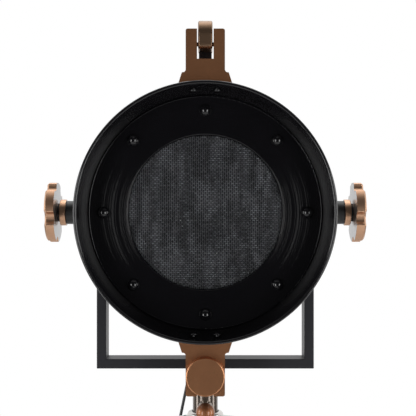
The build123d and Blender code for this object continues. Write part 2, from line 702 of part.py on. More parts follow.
def bezel_screw():
    crown = BEZEL_Y - DOME_H
    rim = BEZEL_Y - DOME_RIM
    head = turned(
        Polyline((crown, 0), (BEZEL_Y, 0), (BEZEL_Y, DOME_R), (rim, DOME_R)),
        cap_arc(rim, DOME_R, crown),
    )
    shank = rod_y(SCREW_R, BEZEL_Y, HOOD_BACK_Y + SCREW_NUT_T)
    nut = extrude(RegularPolygon(SCREW_NUT_R, 6), SCREW_NUT_T)
    nut = Pos(0, HOOD_BACK_Y + SCREW_NUT_T, 0) * Rot(90, 0, 0) * nut
    return head + shank + nut


def bezel_screws():
    return group([place * bezel_screw() for place in screw_places()])


def clevis_outline():
    """The clevis seen from the front, x across and z up: two prongs over a flared base."""
    half, shoulder = CLEVIS_W / 2, SHOULDER_W / 2
    foot_z = HOOD_BACK_R - SHOULDER_OUT
    foot = shoulder + (SHOULDER_AT - foot_z) * tan(radians(FLARE))
    right = [(foot, foot_z), (shoulder, SHOULDER_AT), (half, SHOULDER_AT), (half, CLEVIS_TOP)]
    left = [(-x, z) for x, z in reversed(right)]
    plate = make_face(Polyline(*right, *left, close=True))
    for (x, z), radius in zip(right[1:], (SHOULDER_EDGE, SHOULDER_COVE, CLEVIS_CORNER)):
        corners = [v for v in plate.vertices() if abs(abs(v.X) - x) < TOUCH and abs(v.Y - z) < TOUCH]
        plate = fillet(corners, radius)
    return plate - Pos(0, SLOT_FLOOR + CLEVIS_TOP / 2) * Rectangle(SLOT_W, CLEVIS_TOP)


def clevis():
    """Top clevis: two upright prongs on a saddle that is riveted to the hood's wall."""
    upright = Pos(0, CLEVIS_Y + CLEVIS_T / 2, 0) * Rot(90, 0, 0) * extrude(clevis_outline(), CLEVIS_T)
    front, back = CLEVIS_Y - SADDLE_AHEAD, CLEVIS_Y + SADDLE_BEHIND
    front_r, back_r = hood_seat_r(front), hood_seat_r(back)
    upright -= ring([(front, 0), (front, front_r), (back, back_r), (back, 0)])
    saddle = ring([(front, front_r), (back, back_r), (back, back_r + SADDLE_T), (front, front_r + SADDLE_T)])
    saddle &= block(-SADDLE_W / 2, SADDLE_W / 2, front, back, 0, CLEVIS_TOP)
    body = upright + saddle
    body -= rod_x(PIN_R + RUN, -CLEVIS_W, CLEVIS_W, CLEVIS_Y, PIN_AT)
    for place in rivet_places()[:2]:
        body -= place * rod_z(RIVET_R + RUN, 0, CLEVIS_TOP)
    return body


def rivet_head_z():
    """Where a rivet head's flat side clears the hood's wall all round."""
    y = CLEVIS_Y - RIVET_AHEAD
    wall = min(hood_inside_r(y - RIVET_HEAD_R), hood_inside_r(y + RIVET_HEAD_R))
    return sqrt(wall**2 - (RIVET_X + RIVET_HEAD_R) ** 2)


def rivet_end():
    """Where a rivet's tail is flush with the saddle all round."""
    y = CLEVIS_Y - RIVET_AHEAD
    outside = min(hood_seat_r(y - RIVET_R), hood_seat_r(y + RIVET_R)) + SADDLE_T
    return sqrt(outside**2 - (RIVET_X + RIVET_R) ** 2)


def clevis_rivets():
    head = rod_z(RIVET_HEAD_R, rivet_head_z() - RIVET_HEAD_T, rivet_head_z())
    head = fillet(head.edges().sort_by(Axis.Z)[0], RIVET_HEAD_EDGE)
    rivet = head + rod_z(RIVET_R, rivet_head_z(), rivet_end())
    return group([place * rivet for place in rivet_places()])


def hinge_pin():
    return rod_x(PIN_R, -CLEVIS_W / 2, CLEVIS_W / 2, CLEVIS_Y, PIN_AT)


def latch_front_y():
    return CLEVIS_Y - CLEVIS_T / 2 - SEAT


def latch_knob():
    back = latch_front_y()
    face = back - LATCH_KNOB_T
    knob = rod_y(LATCH_KNOB_R, face, back, z=-LATCH_AT)
    knob = chamfer(knob.edges().sort_by(Axis.Y)[0], LATCH_KNOB_BEVEL)
    return knob - rod_y(LATCH_R + TOUCH, back - LATCH_KNOB_BORE, back, z=-LATCH_AT)


def latch_bolt():
    collar = CLEVIS_Y + CLEVIS_T / 2 + SEAT
    shank = rod_y(LATCH_R, latch_front_y() - LATCH_KNOB_BORE, WEB_Y + LATCH_GRIP, z=-LATCH_AT)
    return shank + rod_y(LATCH_COLLAR_R, collar, collar + LATCH_COLLAR_T, z=-LATCH_AT)


def export_door():
    export("hood_shell", HEAD * hood_shell())
    export("bezel_plate", HEAD * bezel_plate())
    export("lens_gasket", HEAD * lens_gasket())
    export("lens_glass", HEAD * lens_glass())
    export("lens_mesh", HEAD * lens_mesh())
    export("bezel_screws", HEAD * bezel_screws())
    top = clevis()
    export("top_clevis", HEAD * top)
    export("bottom_clevis", HEAD * Rot(0, 180, 0) * top)
    export("clevis_rivets", HEAD * clevis_rivets())
    export("hinge_pin", HEAD * hinge_pin())
    export("latch_knob", HEAD * latch_knob())
    export("latch_bolt", HEAD * latch_bolt())


# Lamp can


def can_shell():
    shell = rod_y(CAN_R, CAN_FRONT_Y, CAN_BEHIND) - rod_y(CAN_IN, CAN_FRONT_Y - CAN_R, CAN_BEHIND + CAN_R)
    vent = extrude(SlotOverall(VENT_L, VENT_W, rotation=90), 2 * CAN_R)
    for angle in VENT_ANGLES:
        shell -= Rot(0, angle, 0) * Pos(0, VENT_Y, 0) * vent
    shell -= rod_x(STUD_R + TOUCH, -2 * CAN_R, 2 * CAN_R)
    shell -= rod_z(GLAND_R + TOUCH, -2 * CAN_R, 0, y=GLAND_Y)
    for place in back_screw_places():
        shell -= place * rod_z(BACK_SCREW_R + RUN, 0, 2 * CAN_R)
    return shell


def back_screw_places():
    return [Rot(0, angle, 0) * Pos(0, CAN_BEHIND - BACK_SCREW_IN, 0) for angle in BACK_SCREW_ANGLES]


def dome_solid(inset):
    """The rear dome's solid, its outside brought in by the inset."""
    rim = (CAN_BEHIND, CAN_R - inset)
    slant = inset * cos(radians(45))
    bulge = (CAN_BEHIND + DOME_MID[0] - slant, CAN_R - DOME_MID[1] - slant)
    end = (DOME_END_Y - inset, DOME_END_R)
    return turned(
        ThreePointArc(rim, bulge, end), Polyline(end, (DOME_END_Y - inset, 0), (CAN_BEHIND, 0), rim)
    )


def can_back():
    dome = dome_solid(0) - dome_solid(CAN_WALL)
    spigot_r = CAN_IN - SEAT
    spigot = rod_y(spigot_r, CAN_BEHIND - DOME_SPIGOT, CAN_BEHIND + CAN_WALL / 2)
    spigot -= rod_y(spigot_r - CAN_WALL, CAN_BEHIND - 2 * DOME_SPIGOT, CAN_BEHIND + DOME_SPIGOT)
    body = dome + spigot
    body += rod_y(CAN_R - CAN_WALL / 2, CAN_BEHIND, CAN_BEHIND + CAN_WALL / 2) - rod_y(
        spigot_r - CAN_WALL, CAN_BEHIND - CAN_WALL, CAN_BEHIND + CAN_WALL
    )
    for place in back_screw_places():
        body -= place * rod_z(BACK_SCREW_R + RUN, 0, 2 * CAN_R)
    return body - rod_y(SWITCH_R + TOUCH, CAN_BEHIND, 2 * DOME_END_Y)


def back_screws():
    inner = CAN_IN - SEAT - CAN_WALL - SEAT
    head = rod_z(BACK_SCREW_HEAD_R, CAN_R + TOUCH, CAN_R + BACK_SCREW_HEAD_T)
    head = fillet(head.edges().sort_by(Axis.Z)[-1], BACK_SCREW_HEAD_EDGE)
    screw = head + rod_z(BACK_SCREW_R, inner - CAN_WALL, CAN_R + TOUCH)
    return group([place * screw for place in back_screw_places()])


def bracket_foot():
    """Curved foot plate of a bracket on top of the can."""
    y0 = WEB_Y
    foot = rod_y(CAN_R + BRACKET_FOOT_T, y0, y0 + BRACKET_FOOT_L)
    foot -= rod_y(CAN_R + TOUCH, y0 - CAN_R, y0 + BRACKET_FOOT_L + CAN_R)
    return foot & block(
        -BRACKET_FOOT_W / 2, BRACKET_FOOT_W / 2, y0, y0 + BRACKET_FOOT_L, 0, CAN_R + 2 * BRACKET_FOOT_T
    )


def hinge_bracket():
    web = block(
        -WEB_W / 2, WEB_W / 2, WEB_Y, WEB_Y + WEB_T, CAN_R + BRACKET_FOOT_T / 2, ARM_FLOOR - TOUCH
    )
    return bracket_foot() + web


def hinge_arm():
    """Copper hinge arm: a round-topped thumb of metal from the bracket, forwards to the pin."""
    pin_y, back = CLEVIS_Y, CLEVIS_Y + ARM_BACK
    front = pin_y - ARM_EYE_R
    top_r = (back - front) / 2
    spring_z = ARM_TOP - top_r
    eye = (pin_y - ARM_EYE_R * cos(radians(45)), PIN_AT - ARM_EYE_R * sin(radians(45)))
    outline = make_face([
        ThreePointArc((pin_y, ARM_FLOOR), eye, (front, PIN_AT)),
        Line((front, PIN_AT), (front, spring_z)),
        ThreePointArc((front, spring_z), (front + top_r, ARM_TOP), (back, spring_z)),
        Polyline((back, spring_z), (back, ARM_FLOOR), (pin_y, ARM_FLOOR)),
    ])
    body = Pos(-ARM_W / 2, 0, 0) * extrude(Plane.YZ * outline, ARM_W)
    above_floor = body.edges().filter_by(lambda edge: edge.center().Z > ARM_FLOOR + TOUCH)
    body = fillet(above_floor.filter_by(lambda edge: abs(edge.center().X) > ARM_W / 4), ARM_EDGE)
    return body - rod_x(PIN_R + RUN, -ARM_W, ARM_W, pin_y, PIN_AT)


def latch_lug():
    foot = Rot(0, 180, 0) * bracket_foot()
    web = block(
        -WEB_W / 2, WEB_W / 2, WEB_Y, WEB_Y + LUG_T, -(LATCH_AT + LUG_BELOW), -(CAN_R + BRACKET_FOOT_T / 2)
    )
    return foot + web - rod_y(LATCH_R + LATCH_PLAY, WEB_Y - LUG_T, WEB_Y + 2 * LUG_T, z=-LATCH_AT)


def trunnion_bosses():
    boss = rod_x(BOSS_R, CAN_R / 2, BOSS_OUT) - rod_y(CAN_R + TOUCH, -CAN_R, CAN_R)
    return mirrored_pair(boss - rod_x(STUD_R + TOUCH, 0, CAN_R * 2))


def trunnion_studs():
    inner = sqrt(CAN_IN**2 - STUD_NUT_R**2) - TOUCH
    stud = rod_x(STUD_R, inner - STUD_NUT_T, KNOB_OUT - KNOB_BORE_END - SEAT)
    return mirrored_pair(stud + rod_x(STUD_NUT_R, inner - STUD_NUT_T, inner))


def reflector_skin(inset):
    front = (-REFLECTOR_AHEAD, REFLECTOR_RIM - inset)
    back = (REFLECTOR_BEHIND, REFLECTOR_HOLE - inset)
    slope = radians(REFLECTOR_SLOPE)
    middle_r = REFLECTOR_RIM - REFLECTOR_MID[1]
    bulge = (REFLECTOR_MID[0] - inset * cos(slope), middle_r - inset * sin(slope))
    return turned(
        ThreePointArc(front, bulge, back), Polyline(back, (REFLECTOR_BEHIND, 0), (-REFLECTOR_AHEAD, 0), front)
    )


def reflector():
    bowl = reflector_skin(0) - reflector_skin(REFLECTOR_T)
    rim = rod_y(CAN_IN - SEAT, -REFLECTOR_AHEAD - REFLECTOR_T, -REFLECTOR_AHEAD)
    return bowl + rim - rod_y(REFLECTOR_RIM - REFLECTOR_T, -2 * REFLECTOR_AHEAD, -REFLECTOR_AHEAD)


def socket_strap():
    strap = rod_y(CAN_IN - SEAT, STRAP_Y, STRAP_Y + STRAP_T)
    return strap & block(-CAN_R, CAN_R, STRAP_Y, STRAP_Y + STRAP_T, -STRAP_W / 2, STRAP_W / 2)


def lamp_socket():
    body = rod_y(SOCKET_R, SOCKET_Y0, SOCKET_Y0 + SOCKET_L)
    return body - rod_y(BULB_CAP_R + SEAT, SOCKET_Y0 - SOCKET_R, SOCKET_Y0 + SOCKET_BORE)


def bulb_cap():
    return rod_y(BULB_CAP_R, SOCKET_Y0 + SOCKET_BORE - SEAT - BULB_CAP_L, SOCKET_Y0 + SOCKET_BORE - SEAT)


def bulb_skin(inset):
    neck_y = SOCKET_Y0 + SOCKET_BORE - SEAT - BULB_CAP_L
    tip = neck_y - BULB_L + inset
    belly_y = tip + BULB_R - inset
    radius = BULB_R - inset
    neck = (neck_y, BULB_CAP_R - inset)
    along, wide = BULB_SHOULDER
    shoulder = (belly_y + (neck_y - belly_y) * along, radius * wide)
    cheek = (belly_y - radius * cos(radians(45)), radius * sin(radians(45)))
    return turned(
        ThreePointArc(neck, shoulder, (belly_y, radius)),
        ThreePointArc((belly_y, radius), cheek, (tip, 0)),
        Polyline((tip, 0), (neck_y, 0), neck),
    )


def bulb_glass():
    return bulb_skin(0) - bulb_skin(BULB_WALL)


def switch_body():
    width, length, height = SWITCH_BODY
    inside = DOME_END_Y - CAN_WALL
    body = block(-width / 2, width / 2, inside - length, inside - TOUCH, -height / 2, height / 2)
    body += rod_y(SWITCH_R, inside - length / 2, DOME_END_Y + SWITCH_OUT)
    nut = extrude(RegularPolygon(SWITCH_NUT_R, 6), SWITCH_NUT_T)
    body += Pos(0, DOME_END_Y + TOUCH, 0) * Rot(-90, 0, 0) * nut
    return body - rod_y(SWITCH_BORE_R, DOME_END_Y + SWITCH_OUT - SWITCH_BORE, 2 * DOME_END_Y)


def lever_pivot_y():
    return DOME_END_Y + SWITCH_OUT - SWITCH_BORE / 2


def switch_lever():
    root = SEAT - SWITCH_BORE / 2
    tip = LEVER_L - LEVER_TIP_R
    lever = turned(
        Polyline((LEVER_L, 0), (root, 0), (root, LEVER_R), (tip, LEVER_TIP_R)),
        cap_arc(tip, LEVER_TIP_R, LEVER_L),
    )
    return Pos(0, lever_pivot_y(), 0) * Rot(LEVER_LEAN, 0, 0) * lever


def cord_gland():
    """Cord grip through the can's underside, with a tapered rubber boot."""
    inner = -sqrt(CAN_IN**2 - GLAND_FLANGE_R**2) + TOUCH
    seat = -CAN_R - TOUCH
    boot_top = seat - GLAND_FLANGE_T
    body = rod_z(GLAND_R, seat, inner + GLAND_NUT_T) + rod_z(GLAND_FLANGE_R, inner, inner + GLAND_NUT_T)
    body += rod_z(GLAND_FLANGE_R, boot_top, seat)
    boot = Pos(0, 0, -GLAND_BOOT / 2) * Cone(GLAND_TIP_R, GLAND_BOOT_R, GLAND_BOOT)
    return Pos(0, GLAND_Y, 0) * (body + Pos(0, 0, boot_top) * Rot(0, GLAND_LEAN, 0) * boot)


def export_can():
    for make in (
        can_shell, can_back, back_screws, hinge_bracket, hinge_arm, latch_lug, trunnion_bosses,
        trunnion_studs, reflector, socket_strap, lamp_socket, bulb_cap, bulb_glass, switch_body,
        switch_lever, cord_gland,
    ):
        export(make.__name__, HEAD * make())


# Cord, coil, tie and plug


def cord_section(point, direction):
    return Plane(origin=point, z_dir=direction) * RegularPolygon(CORD_R, 8)


def route_radii(points):
    """The largest arc that each corner's two runs allow."""
    radii = []
    for before, corner, after in zip(points, points[1:], points[2:]):
        into, out = Vector(*corner) - Vector(*before), Vector(*after) - Vector(*corner)
        half_turn = radians(into.get_angle(out)) / 2
        radii.append(BEND_SHARE * min(into.length, out.length) * cos(half_turn) / sin(half_turn))
    return radii


def cord_drop():
    radii = route_radii(CORD_ROUTE)
    print("cord radii", [round(radius) for radius in radii], "least", round(min(radii), 1))
    path = FilletPolyline(*CORD_ROUTE, radius=radii)
    start = Vector(*CORD_ROUTE[1]) - Vector(*CORD_ROUTE[0])
    tube = sweep(cord_section(CORD_ROUTE[0], start), path=path)
    report_tube("cord_drop", tube, path.length)
    return tube


def report_tube(name, tube, length):
    section = 4 * sin(radians(45)) * CORD_R**2
    print(f"{name}: length {length:.1f}, volume {tube.volume:.1f}, section by length {section * length:.1f}")


def coil_half_turns():
    """Each half turn of the coil as start and end (y, z) from its centre, radius and side, in order:
    in along the lower layer, up a layer in the half turn at the middle, out along the upper one."""
    halves = 2 * COIL_TURNS
    inward = [COIL_OUT_R - k * COIL_PITCH / 2 for k in range(halves)]
    climb = [inward[-1] - COIL_PITCH / 2]
    radii = inward + climb + inward[::-1]
    y, z, side = COIL_OUT_R, 0.0, -1
    turns = []
    for k, radius in enumerate(radii):
        rise = COIL_PITCH if k == halves else 0.0
        turns.append(((y, z), (y + side * 2 * radius, z + rise), radius, side))
        y, z, side = y + side * 2 * radius, z + rise, -side
    return turns


def coil_point(x, y, z):
    return Vector(COIL_AT[0] + x, COIL_AT[1] + y, COIL_Z + z)


def cord_coil():
    edges = []
    turns = coil_half_turns()
    (first_y, first_z), _, _, first_side = turns[0]
    edges.append(Line(coil_point(-first_side * COIL_LEAD, first_y, first_z), coil_point(0, first_y, first_z)))
    for (y0, z0), (y1, z1), radius, side in turns:
        middle = coil_point(side * radius, (y0 + y1) / 2, (z0 + z1) / 2)
        edges.append(ThreePointArc(coil_point(0, y0, z0), middle, coil_point(0, y1, z1)))
    _, (last_y, last_z), _, last_side = turns[-1]
    edges.append(Line(coil_point(0, last_y, last_z), coil_point(-last_side * COIL_TAIL, last_y, last_z)))
    path = Wire(edges)
    start = edges[0] @ 0
    tube = sweep(cord_section(start, edges[0] % 0), path=path)
    report_tube("cord_coil", tube, path.length)
    print("cord_coil least gap to itself", round(least_gap(edges), 2))
    return tube


def least_gap(edges):
    """Least free space between turns, on points along the coil a turn or more apart."""
    step = CORD_R
    points = []
    along = 0.0
    for edge in edges:
        count = max(2, int(edge.length / step))
        points += [(along + edge.length * k / count, edge @ (k / count)) for k in range(count)]
        along += edge.length
    apart = pi * COIL_MEAN_R
    return min(
        (p - q).length - 2 * CORD_R
        for k, (a, p) in enumerate(points)
        for b, q in points[k + 1:]
        if b - a > apart
    )


def cord_tie():
    """Band round the coil's turns, where they run along Y."""
    half = TIE_W / 2
    inmost = COIL_OUT_R - COIL_PITCH * COIL_TURNS - CORD_R
    inner_r = sqrt(inmost**2 - half**2) - TIE_PLAY
    outer_r = COIL_OUT_R + CORD_R + TIE_PLAY
    top = COIL_Z + COIL_PITCH + CORD_R + TIE_PLAY
    x0, y0 = COIL_AT
    band = block(x0 - outer_r - TIE_T, x0 - inner_r + TIE_T, y0 - half, y0 + half, 0, top + TIE_T)
    return band - block(x0 - outer_r, x0 - inner_r, y0 - TIE_W, y0 + TIE_W, TIE_T, top)


def plug_rear():
    """Middle of the plug's rear face, where the cord's tail ends."""
    _, (last_y, last_z), _, last_side = coil_half_turns()[-1]
    return coil_point(-last_side * (COIL_TAIL + TOUCH), last_y, last_z), -last_side


def plug_body():
    rear, way = plug_rear()
    depth = 2 * rear.Z
    along = Plane(origin=rear, x_dir=(0, 1, 0), z_dir=(way, 0, 0))
    wide = along.offset(PLUG_TAPER) * Rectangle(PLUG_W, depth)
    return loft([along * Rectangle(PLUG_NOSE, depth), wide]) + extrude(wide, PLUG_L - PLUG_TAPER)


def plug_pins():
    rear, way = plug_rear()
    length, thick, width = PLUG_PIN
    x0 = rear.X + way * PLUG_L
    pins = []
    for side in (-1, 1):
        y = rear.Y + side * PLUG_PIN_GAP / 2
        middle = Pos(x0 + way * length / 2, y, rear.Z)
        pins.append(middle * Box(length, thick, width))
    return group(pins)


def export_cord():
    for make in (cord_drop, cord_coil, cord_tie, plug_body, plug_pins):
        export(make.__name__, make())


os.makedirs("parts", exist_ok=True)
export_tripod()
export_pole()
export_yoke()
export_door()
export_can()
export_cord()
print("pole axis y", round(POLE_Y, 3), "hinge bolts z", round(PIVOT_Z, 3), "tilt axis z", round(TILT_Z, 3))
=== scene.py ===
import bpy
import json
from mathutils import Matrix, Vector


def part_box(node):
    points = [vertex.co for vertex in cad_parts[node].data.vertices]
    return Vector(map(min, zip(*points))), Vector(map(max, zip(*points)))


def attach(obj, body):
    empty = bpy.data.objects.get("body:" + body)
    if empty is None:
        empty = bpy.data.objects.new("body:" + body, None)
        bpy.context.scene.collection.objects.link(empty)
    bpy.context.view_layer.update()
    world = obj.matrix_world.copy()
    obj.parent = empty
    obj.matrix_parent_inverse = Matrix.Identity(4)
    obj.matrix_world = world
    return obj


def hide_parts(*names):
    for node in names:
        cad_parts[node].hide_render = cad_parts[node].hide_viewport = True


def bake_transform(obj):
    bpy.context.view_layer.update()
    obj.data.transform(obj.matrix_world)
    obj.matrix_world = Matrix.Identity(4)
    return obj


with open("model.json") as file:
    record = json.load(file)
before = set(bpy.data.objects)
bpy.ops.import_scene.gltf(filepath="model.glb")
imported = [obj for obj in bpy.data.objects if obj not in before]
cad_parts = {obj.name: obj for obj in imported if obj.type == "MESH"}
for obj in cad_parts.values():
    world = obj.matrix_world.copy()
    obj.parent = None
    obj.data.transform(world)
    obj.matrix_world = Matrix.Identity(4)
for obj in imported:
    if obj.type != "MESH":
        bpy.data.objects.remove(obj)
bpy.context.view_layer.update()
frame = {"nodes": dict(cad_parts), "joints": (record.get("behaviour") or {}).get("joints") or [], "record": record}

import json
from math import cos, pi, radians, sin, sqrt

import bmesh
import bpy
from mathutils import Matrix, Vector

bl_info = {
    "name": "Floor spotlight finish",
    "version": (1, 0, 0),
    "blender": (4, 5, 0),
    "location": "View3D > Sidebar > Spotlight",
    "description": "Dresses the solids of a spotlight floor lamp and sets its studio",
    "category": "Object",
}

RECORD = frame["record"]
JOINTS = {joint["name"]: joint for joint in frame["joints"]}
BODY_OF = {node: body for body, nodes in RECORD["behaviour"]["bodies"].items() for node in nodes}
LEGS = ("left", "right", "rear")

# The lamp's axis runs along Y through the middle of the tilt axis
TILT_AXIS = Vector(JOINTS["head_tilt"]["pos_m"])
LAMP_AXIS = Vector((0, 1, 0))

# Edges that turn by more than this are sharp
SHARP = radians(28)

# Faces that turn by less than this become one, and so do points that are closer than this
FLAT = radians(0.4)
WELD = 0.000002

# Width of the rounding on a piece's edges, and the number of faces across it
FINE_EDGE = 0.0003
EDGE = 0.0005
SOFT_EDGE = 0.0008
PLUG_EDGE = 0.0018
TIE_EDGE = 0.0002
EDGE_STEPS = 2

# The cord's route from the boot to the coil, in metres
CORD_ROUTE = [
    (-0.0052, -0.05013, 1.126), (-0.0114, -0.05013, 1.0967), (-0.0196, -0.0496, 1.0596),
    (-0.0305, -0.0488, 1.01), (-0.042, -0.0477, 0.9505), (-0.0522, -0.0464, 0.89),
    (-0.0608, -0.045, 0.83), (-0.0679, -0.0435, 0.7715), (-0.0739, -0.042, 0.7136),
    (-0.0791, -0.0405, 0.6556), (-0.0838, -0.039, 0.5976), (-0.0882, -0.0376, 0.5395),
    (-0.0929, -0.0362, 0.4814), (-0.0981, -0.0348, 0.4234), (-0.104, -0.0333, 0.3654),
    (-0.1108, -0.0318, 0.3075), (-0.1188, -0.0302, 0.2498), (-0.1284, -0.0286, 0.1932),
    (-0.1403, -0.0269, 0.1398), (-0.1552, -0.0252, 0.0942), (-0.1749, -0.0236, 0.0572),
    (-0.2003, -0.0222, 0.029), (-0.2291, -0.021, 0.011), (-0.2595, -0.0202, 0.003),
    (-0.2895, -0.0202, 0.003),
]
COIL_CENTRE = Vector((-0.2935, -0.05225, 0.003))
COIL_OUTER = 0.03205
COIL_PITCH = 0.0046
COIL_TURNS = 4
COIL_TAIL = 0.04
POINTS_PER_HALF_TURN = 6

# The cord's stretches, and the heights at which each but the last one ends
CORD_PIECES = ("cord_top", "cord_swivel", "cord_fall", "cord_floor")
CORD_ENDS = (1.056, 1.006, 0.006)

# A star knob's collar and star, along its axis, and the soft border of the painted shade, near black, on the neck
# between them
COLLAR = 0.008
STAR = 0.012
NECK_SHADE_BORDER = 0.0002

# How far the hood's wall leans, as the Y part of its normal
WALL_SLOPE = 0.219
WALL_SLOPE_SPAN = 0.02

# Where the wear on the hood's sides starts and where it is full, from the rim
WEAR_START = 0.005
WEAR_FULL = 0.03

# The rolled bead at the hood's rim, drawn over the solid's own with finer faces
RIM_BEAD_R = 0.0022
RIM_BEAD_SKIN = 0.00004
RIM_SIDES = 240
RIM_STEPS = 24

# The boot on the cord and its ribs, the first of which lies this part of a step from the tip
BOOT_LENGTH = 0.025
BOOT_R = 0.0065
BOOT_TIP_R = 0.0032
BOOT_RIBS = 5
BOOT_FIRST_RIB = 0.7
BOOT_RIB = 0.0006

# Ribs on the plug's grip, counted from the end where the cord goes in
GRIP_RIBS = 4
GRIP_START = 0.006
GRIP_STEP = 0.004
GRIP_NOSE = 0.009
GRIP_SPREAD = 0.25
GRIP_RIB = 0.0007
GRIP_EDGE = GRIP_RIB / 3

# The cross in the rear dome's screws
CROSS_REACH = 0.0024
CROSS_WIDE = 0.0009
CROSS_DEEP = 0.0011

# How far the woven mesh stays inside the solid mesh's edge
MESH_INSIDE = 0.004

# Soft boxes as place and size: the first two stand on both sides, and the places are those on the right
FRONT_BOX = ((1.96, -2.56, 0.98), (0.9, 1.9))
SIDE_BOX = ((3.2, -0.6, 1.27), (0.95, 2.1))
OVERHEAD_BOX = ((0.0, 0.6, 3.1), (1.6, 1.6))

# The floor's disc and its two tones
FLOOR_R = 2.2
FLOOR_SIDES = 96
FLOOR_TONES = ((0.86, 0.86, 0.86), (0.9, 0.9, 0.9))

# The room's light, the light added from behind, and how that rises with depth and height
ROOM_LEVEL = 0.07
BEHIND_LEVEL = 0.55
BEHIND_HEIGHT = 0.7
BEHIND_START = 0.1
BEHIND_FULL = 0.7

WHITE = (1, 1, 1)

# Width of the camera's sensor in millimetres
SENSOR_WIDTH = 36.0

# A Mix node's sockets for colours, by number, because other sockets of it have the same names
MIX_FIRST = 6
MIX_SECOND = 7
MIX_RESULT = 2


class Wire:
    """A shader socket that works in Python sums: each operator adds the Math node it stands for."""

    def __init__(self, tree, socket):
        self.tree = tree
        self.socket = socket

    def maths(self, operation, first, second):
        """A Math node on two values, each a wire or a number."""
        node = self.tree.nodes.new("ShaderNodeMath")
        node.operation = operation
        for place, value in zip(node.inputs, (first, second)):
            if isinstance(value, Wire):
                self.tree.links.new(value.socket, place)
            else:
                place.default_value = value
        return Wire(self.tree, node.outputs[0])

    def __add__(self, other):
        return self.maths("ADD", self, other)

    def __radd__(self, other):
        return self.maths("ADD", other, self)

    def __sub__(self, other):
        return self.maths("SUBTRACT", self, other)

    def __rsub__(self, other):
        return self.maths("SUBTRACT", other, self)

    def __mul__(self, other):
        return self.maths("MULTIPLY", self, other)

    def __rmul__(self, other):
        return self.maths("MULTIPLY", other, self)

    def __truediv__(self, other):
        return self.maths("DIVIDE", self, other)

    def __rtruediv__(self, other):
        return self.maths("DIVIDE", other, self)

    def __pow__(self, other):
        return self.maths("POWER", self, other)

    def __rpow__(self, other):
        return self.maths("POWER", other, self)


class Finish:
    """A node tree, of a material or of the world, that nodes are added to."""

    def __init__(self, owner):
        owner.use_nodes = True
        self.owner = owner
        self.tree = owner.node_tree
        self.tree.nodes.clear()

    def add(self, kind, settings=None, sockets=None, out=0):
        """A node with its settings, such as a ramp's stops, and then its sockets' values or links."""
        node = self.tree.nodes.new(kind)
        for key, value in (settings or {}).items():
            if key == "stops":
                ramp = node.color_ramp
                while len(ramp.elements) < len(value):
                    ramp.elements.new(0.5)
                for element, (place, colour) in zip(ramp.elements, value):
                    element.position = place
                    element.color = (*colour, 1.0)
            else:
                setattr(node, key, value)
        for key, value in (sockets or {}).items():
            place = node.inputs[key]
            if isinstance(value, Wire):
                self.tree.links.new(value.socket, place)
            elif place.type == "RGBA":
                place.default_value = (*value[:3], 1.0)
            else:
                place.default_value = value
        return Wire(self.tree, node.outputs[out]) if len(node.outputs) else None

    def place(self):
        """The place on the piece, in the lamp's own frame."""
        return self.add("ShaderNodeTexCoord", out="Object")

    def part(self, vector, axis):
        """One part of a vector, by the name of its axis."""
        return self.add("ShaderNodeSeparateXYZ", None, {"Vector": vector}, out=axis)

    def noise(self, scale, detail=3.0, rough=0.55, where=None):
        """A noise over the piece, or over the vector given."""
        sockets = {"Vector": where or self.place(), "Scale": scale, "Detail": detail, "Roughness": rough}
        return self.add("ShaderNodeTexNoise", None, sockets)

    def grain(self, scales, detail, rough):
        """A noise with a scale of its own along each axis."""
        where = self.add("ShaderNodeMapping", None, {"Vector": self.place(), "Scale": scales})
        return self.noise(1.0, detail, rough, where)

    def spread(self, value, low, high):
        """The stretch of a value from low to high, as a smooth rise from 0 to 1."""
        return self.add(
            "ShaderNodeMapRange", {"interpolation_type": "SMOOTHSTEP"},
            {"Value": value, "From Min": low, "From Max": high},
        )

    def swing(self, noise, span):
        """A noise as a sway about nought, that wide in all."""
        return (noise - 0.5) * span

    def mixed(self, share, first, second):
        """A colour between two, by the share of the second."""
        sockets = {"Factor": share, MIX_FIRST: first, MIX_SECOND: second}
        return self.add("ShaderNodeMix", {"data_type": "RGBA"}, sockets, out=MIX_RESULT)

    def shades(self, share, colour, first, second):
        """A colour between two shades of it, each given as a factor."""
        return self.mixed(share, tinted(colour, first), tinted(colour, second))

    def bump(self, height, distance, strength):
        sockets = {"Height": height, "Distance": distance, "Strength": strength}
        return self.add("ShaderNodeBump", None, sockets, out="Normal")

    def surface(self, **sockets):
        """The finished material, from the shader's sockets with _ for the spaces in their names."""
        names = {key.replace("_", " "): value for key, value in sockets.items()}
        shader = self.add("ShaderNodeBsdfPrincipled", None, names)
        self.add("ShaderNodeOutputMaterial", None, {"Surface": shader})
        return self.owner


def tinted(colour, factor):
    """A colour made darker or lighter."""
    return tuple(channel * factor for channel in colour[:3])


def new_material(name):
    return Finish(bpy.data.materials.new(name))


def stoved_paint(name, colour, rough, peel=0.05):
    """Satin paint: soft clouding, a faint orange peel and a few rubbed patches."""
    finish = new_material(name)
    cloud = finish.noise(14.0, detail=4.0)
    rubbed = finish.spread(finish.noise(55.0, detail=6.0, rough=0.7), 0.58, 0.78)
    base = finish.shades(cloud, colour, 0.75, 1.25)
    return finish.surface(
        Base_Color=finish.mixed(rubbed * 0.35, base, tinted(colour, 1.9)),
        Roughness=rough + finish.swing(cloud, 0.12) + rubbed * 0.1,
        Normal=finish.bump(finish.noise(700.0, detail=2.0), distance=0.0004, strength=peel),
        IOR=1.5,
    )


def spun_rings(finish):
    """Fine rings left by the spinning lathe, and how far round to the left or right a place is."""
    where = finish.place()
    across = finish.part(where, "X")
    up = finish.part(where, "Z") - TILT_AXIS.z
    radius = (across * across + up * up) ** 0.5
    lathe = finish.add("ShaderNodeCombineXYZ", None, {"X": radius, "Y": finish.part(where, "Y")})
    rings = finish.noise(2400.0, detail=1.0, rough=0.5, where=lathe)
    sides = finish.spread((across * across) ** 0.5 / radius, 0.45, 0.9)
    return rings, sides


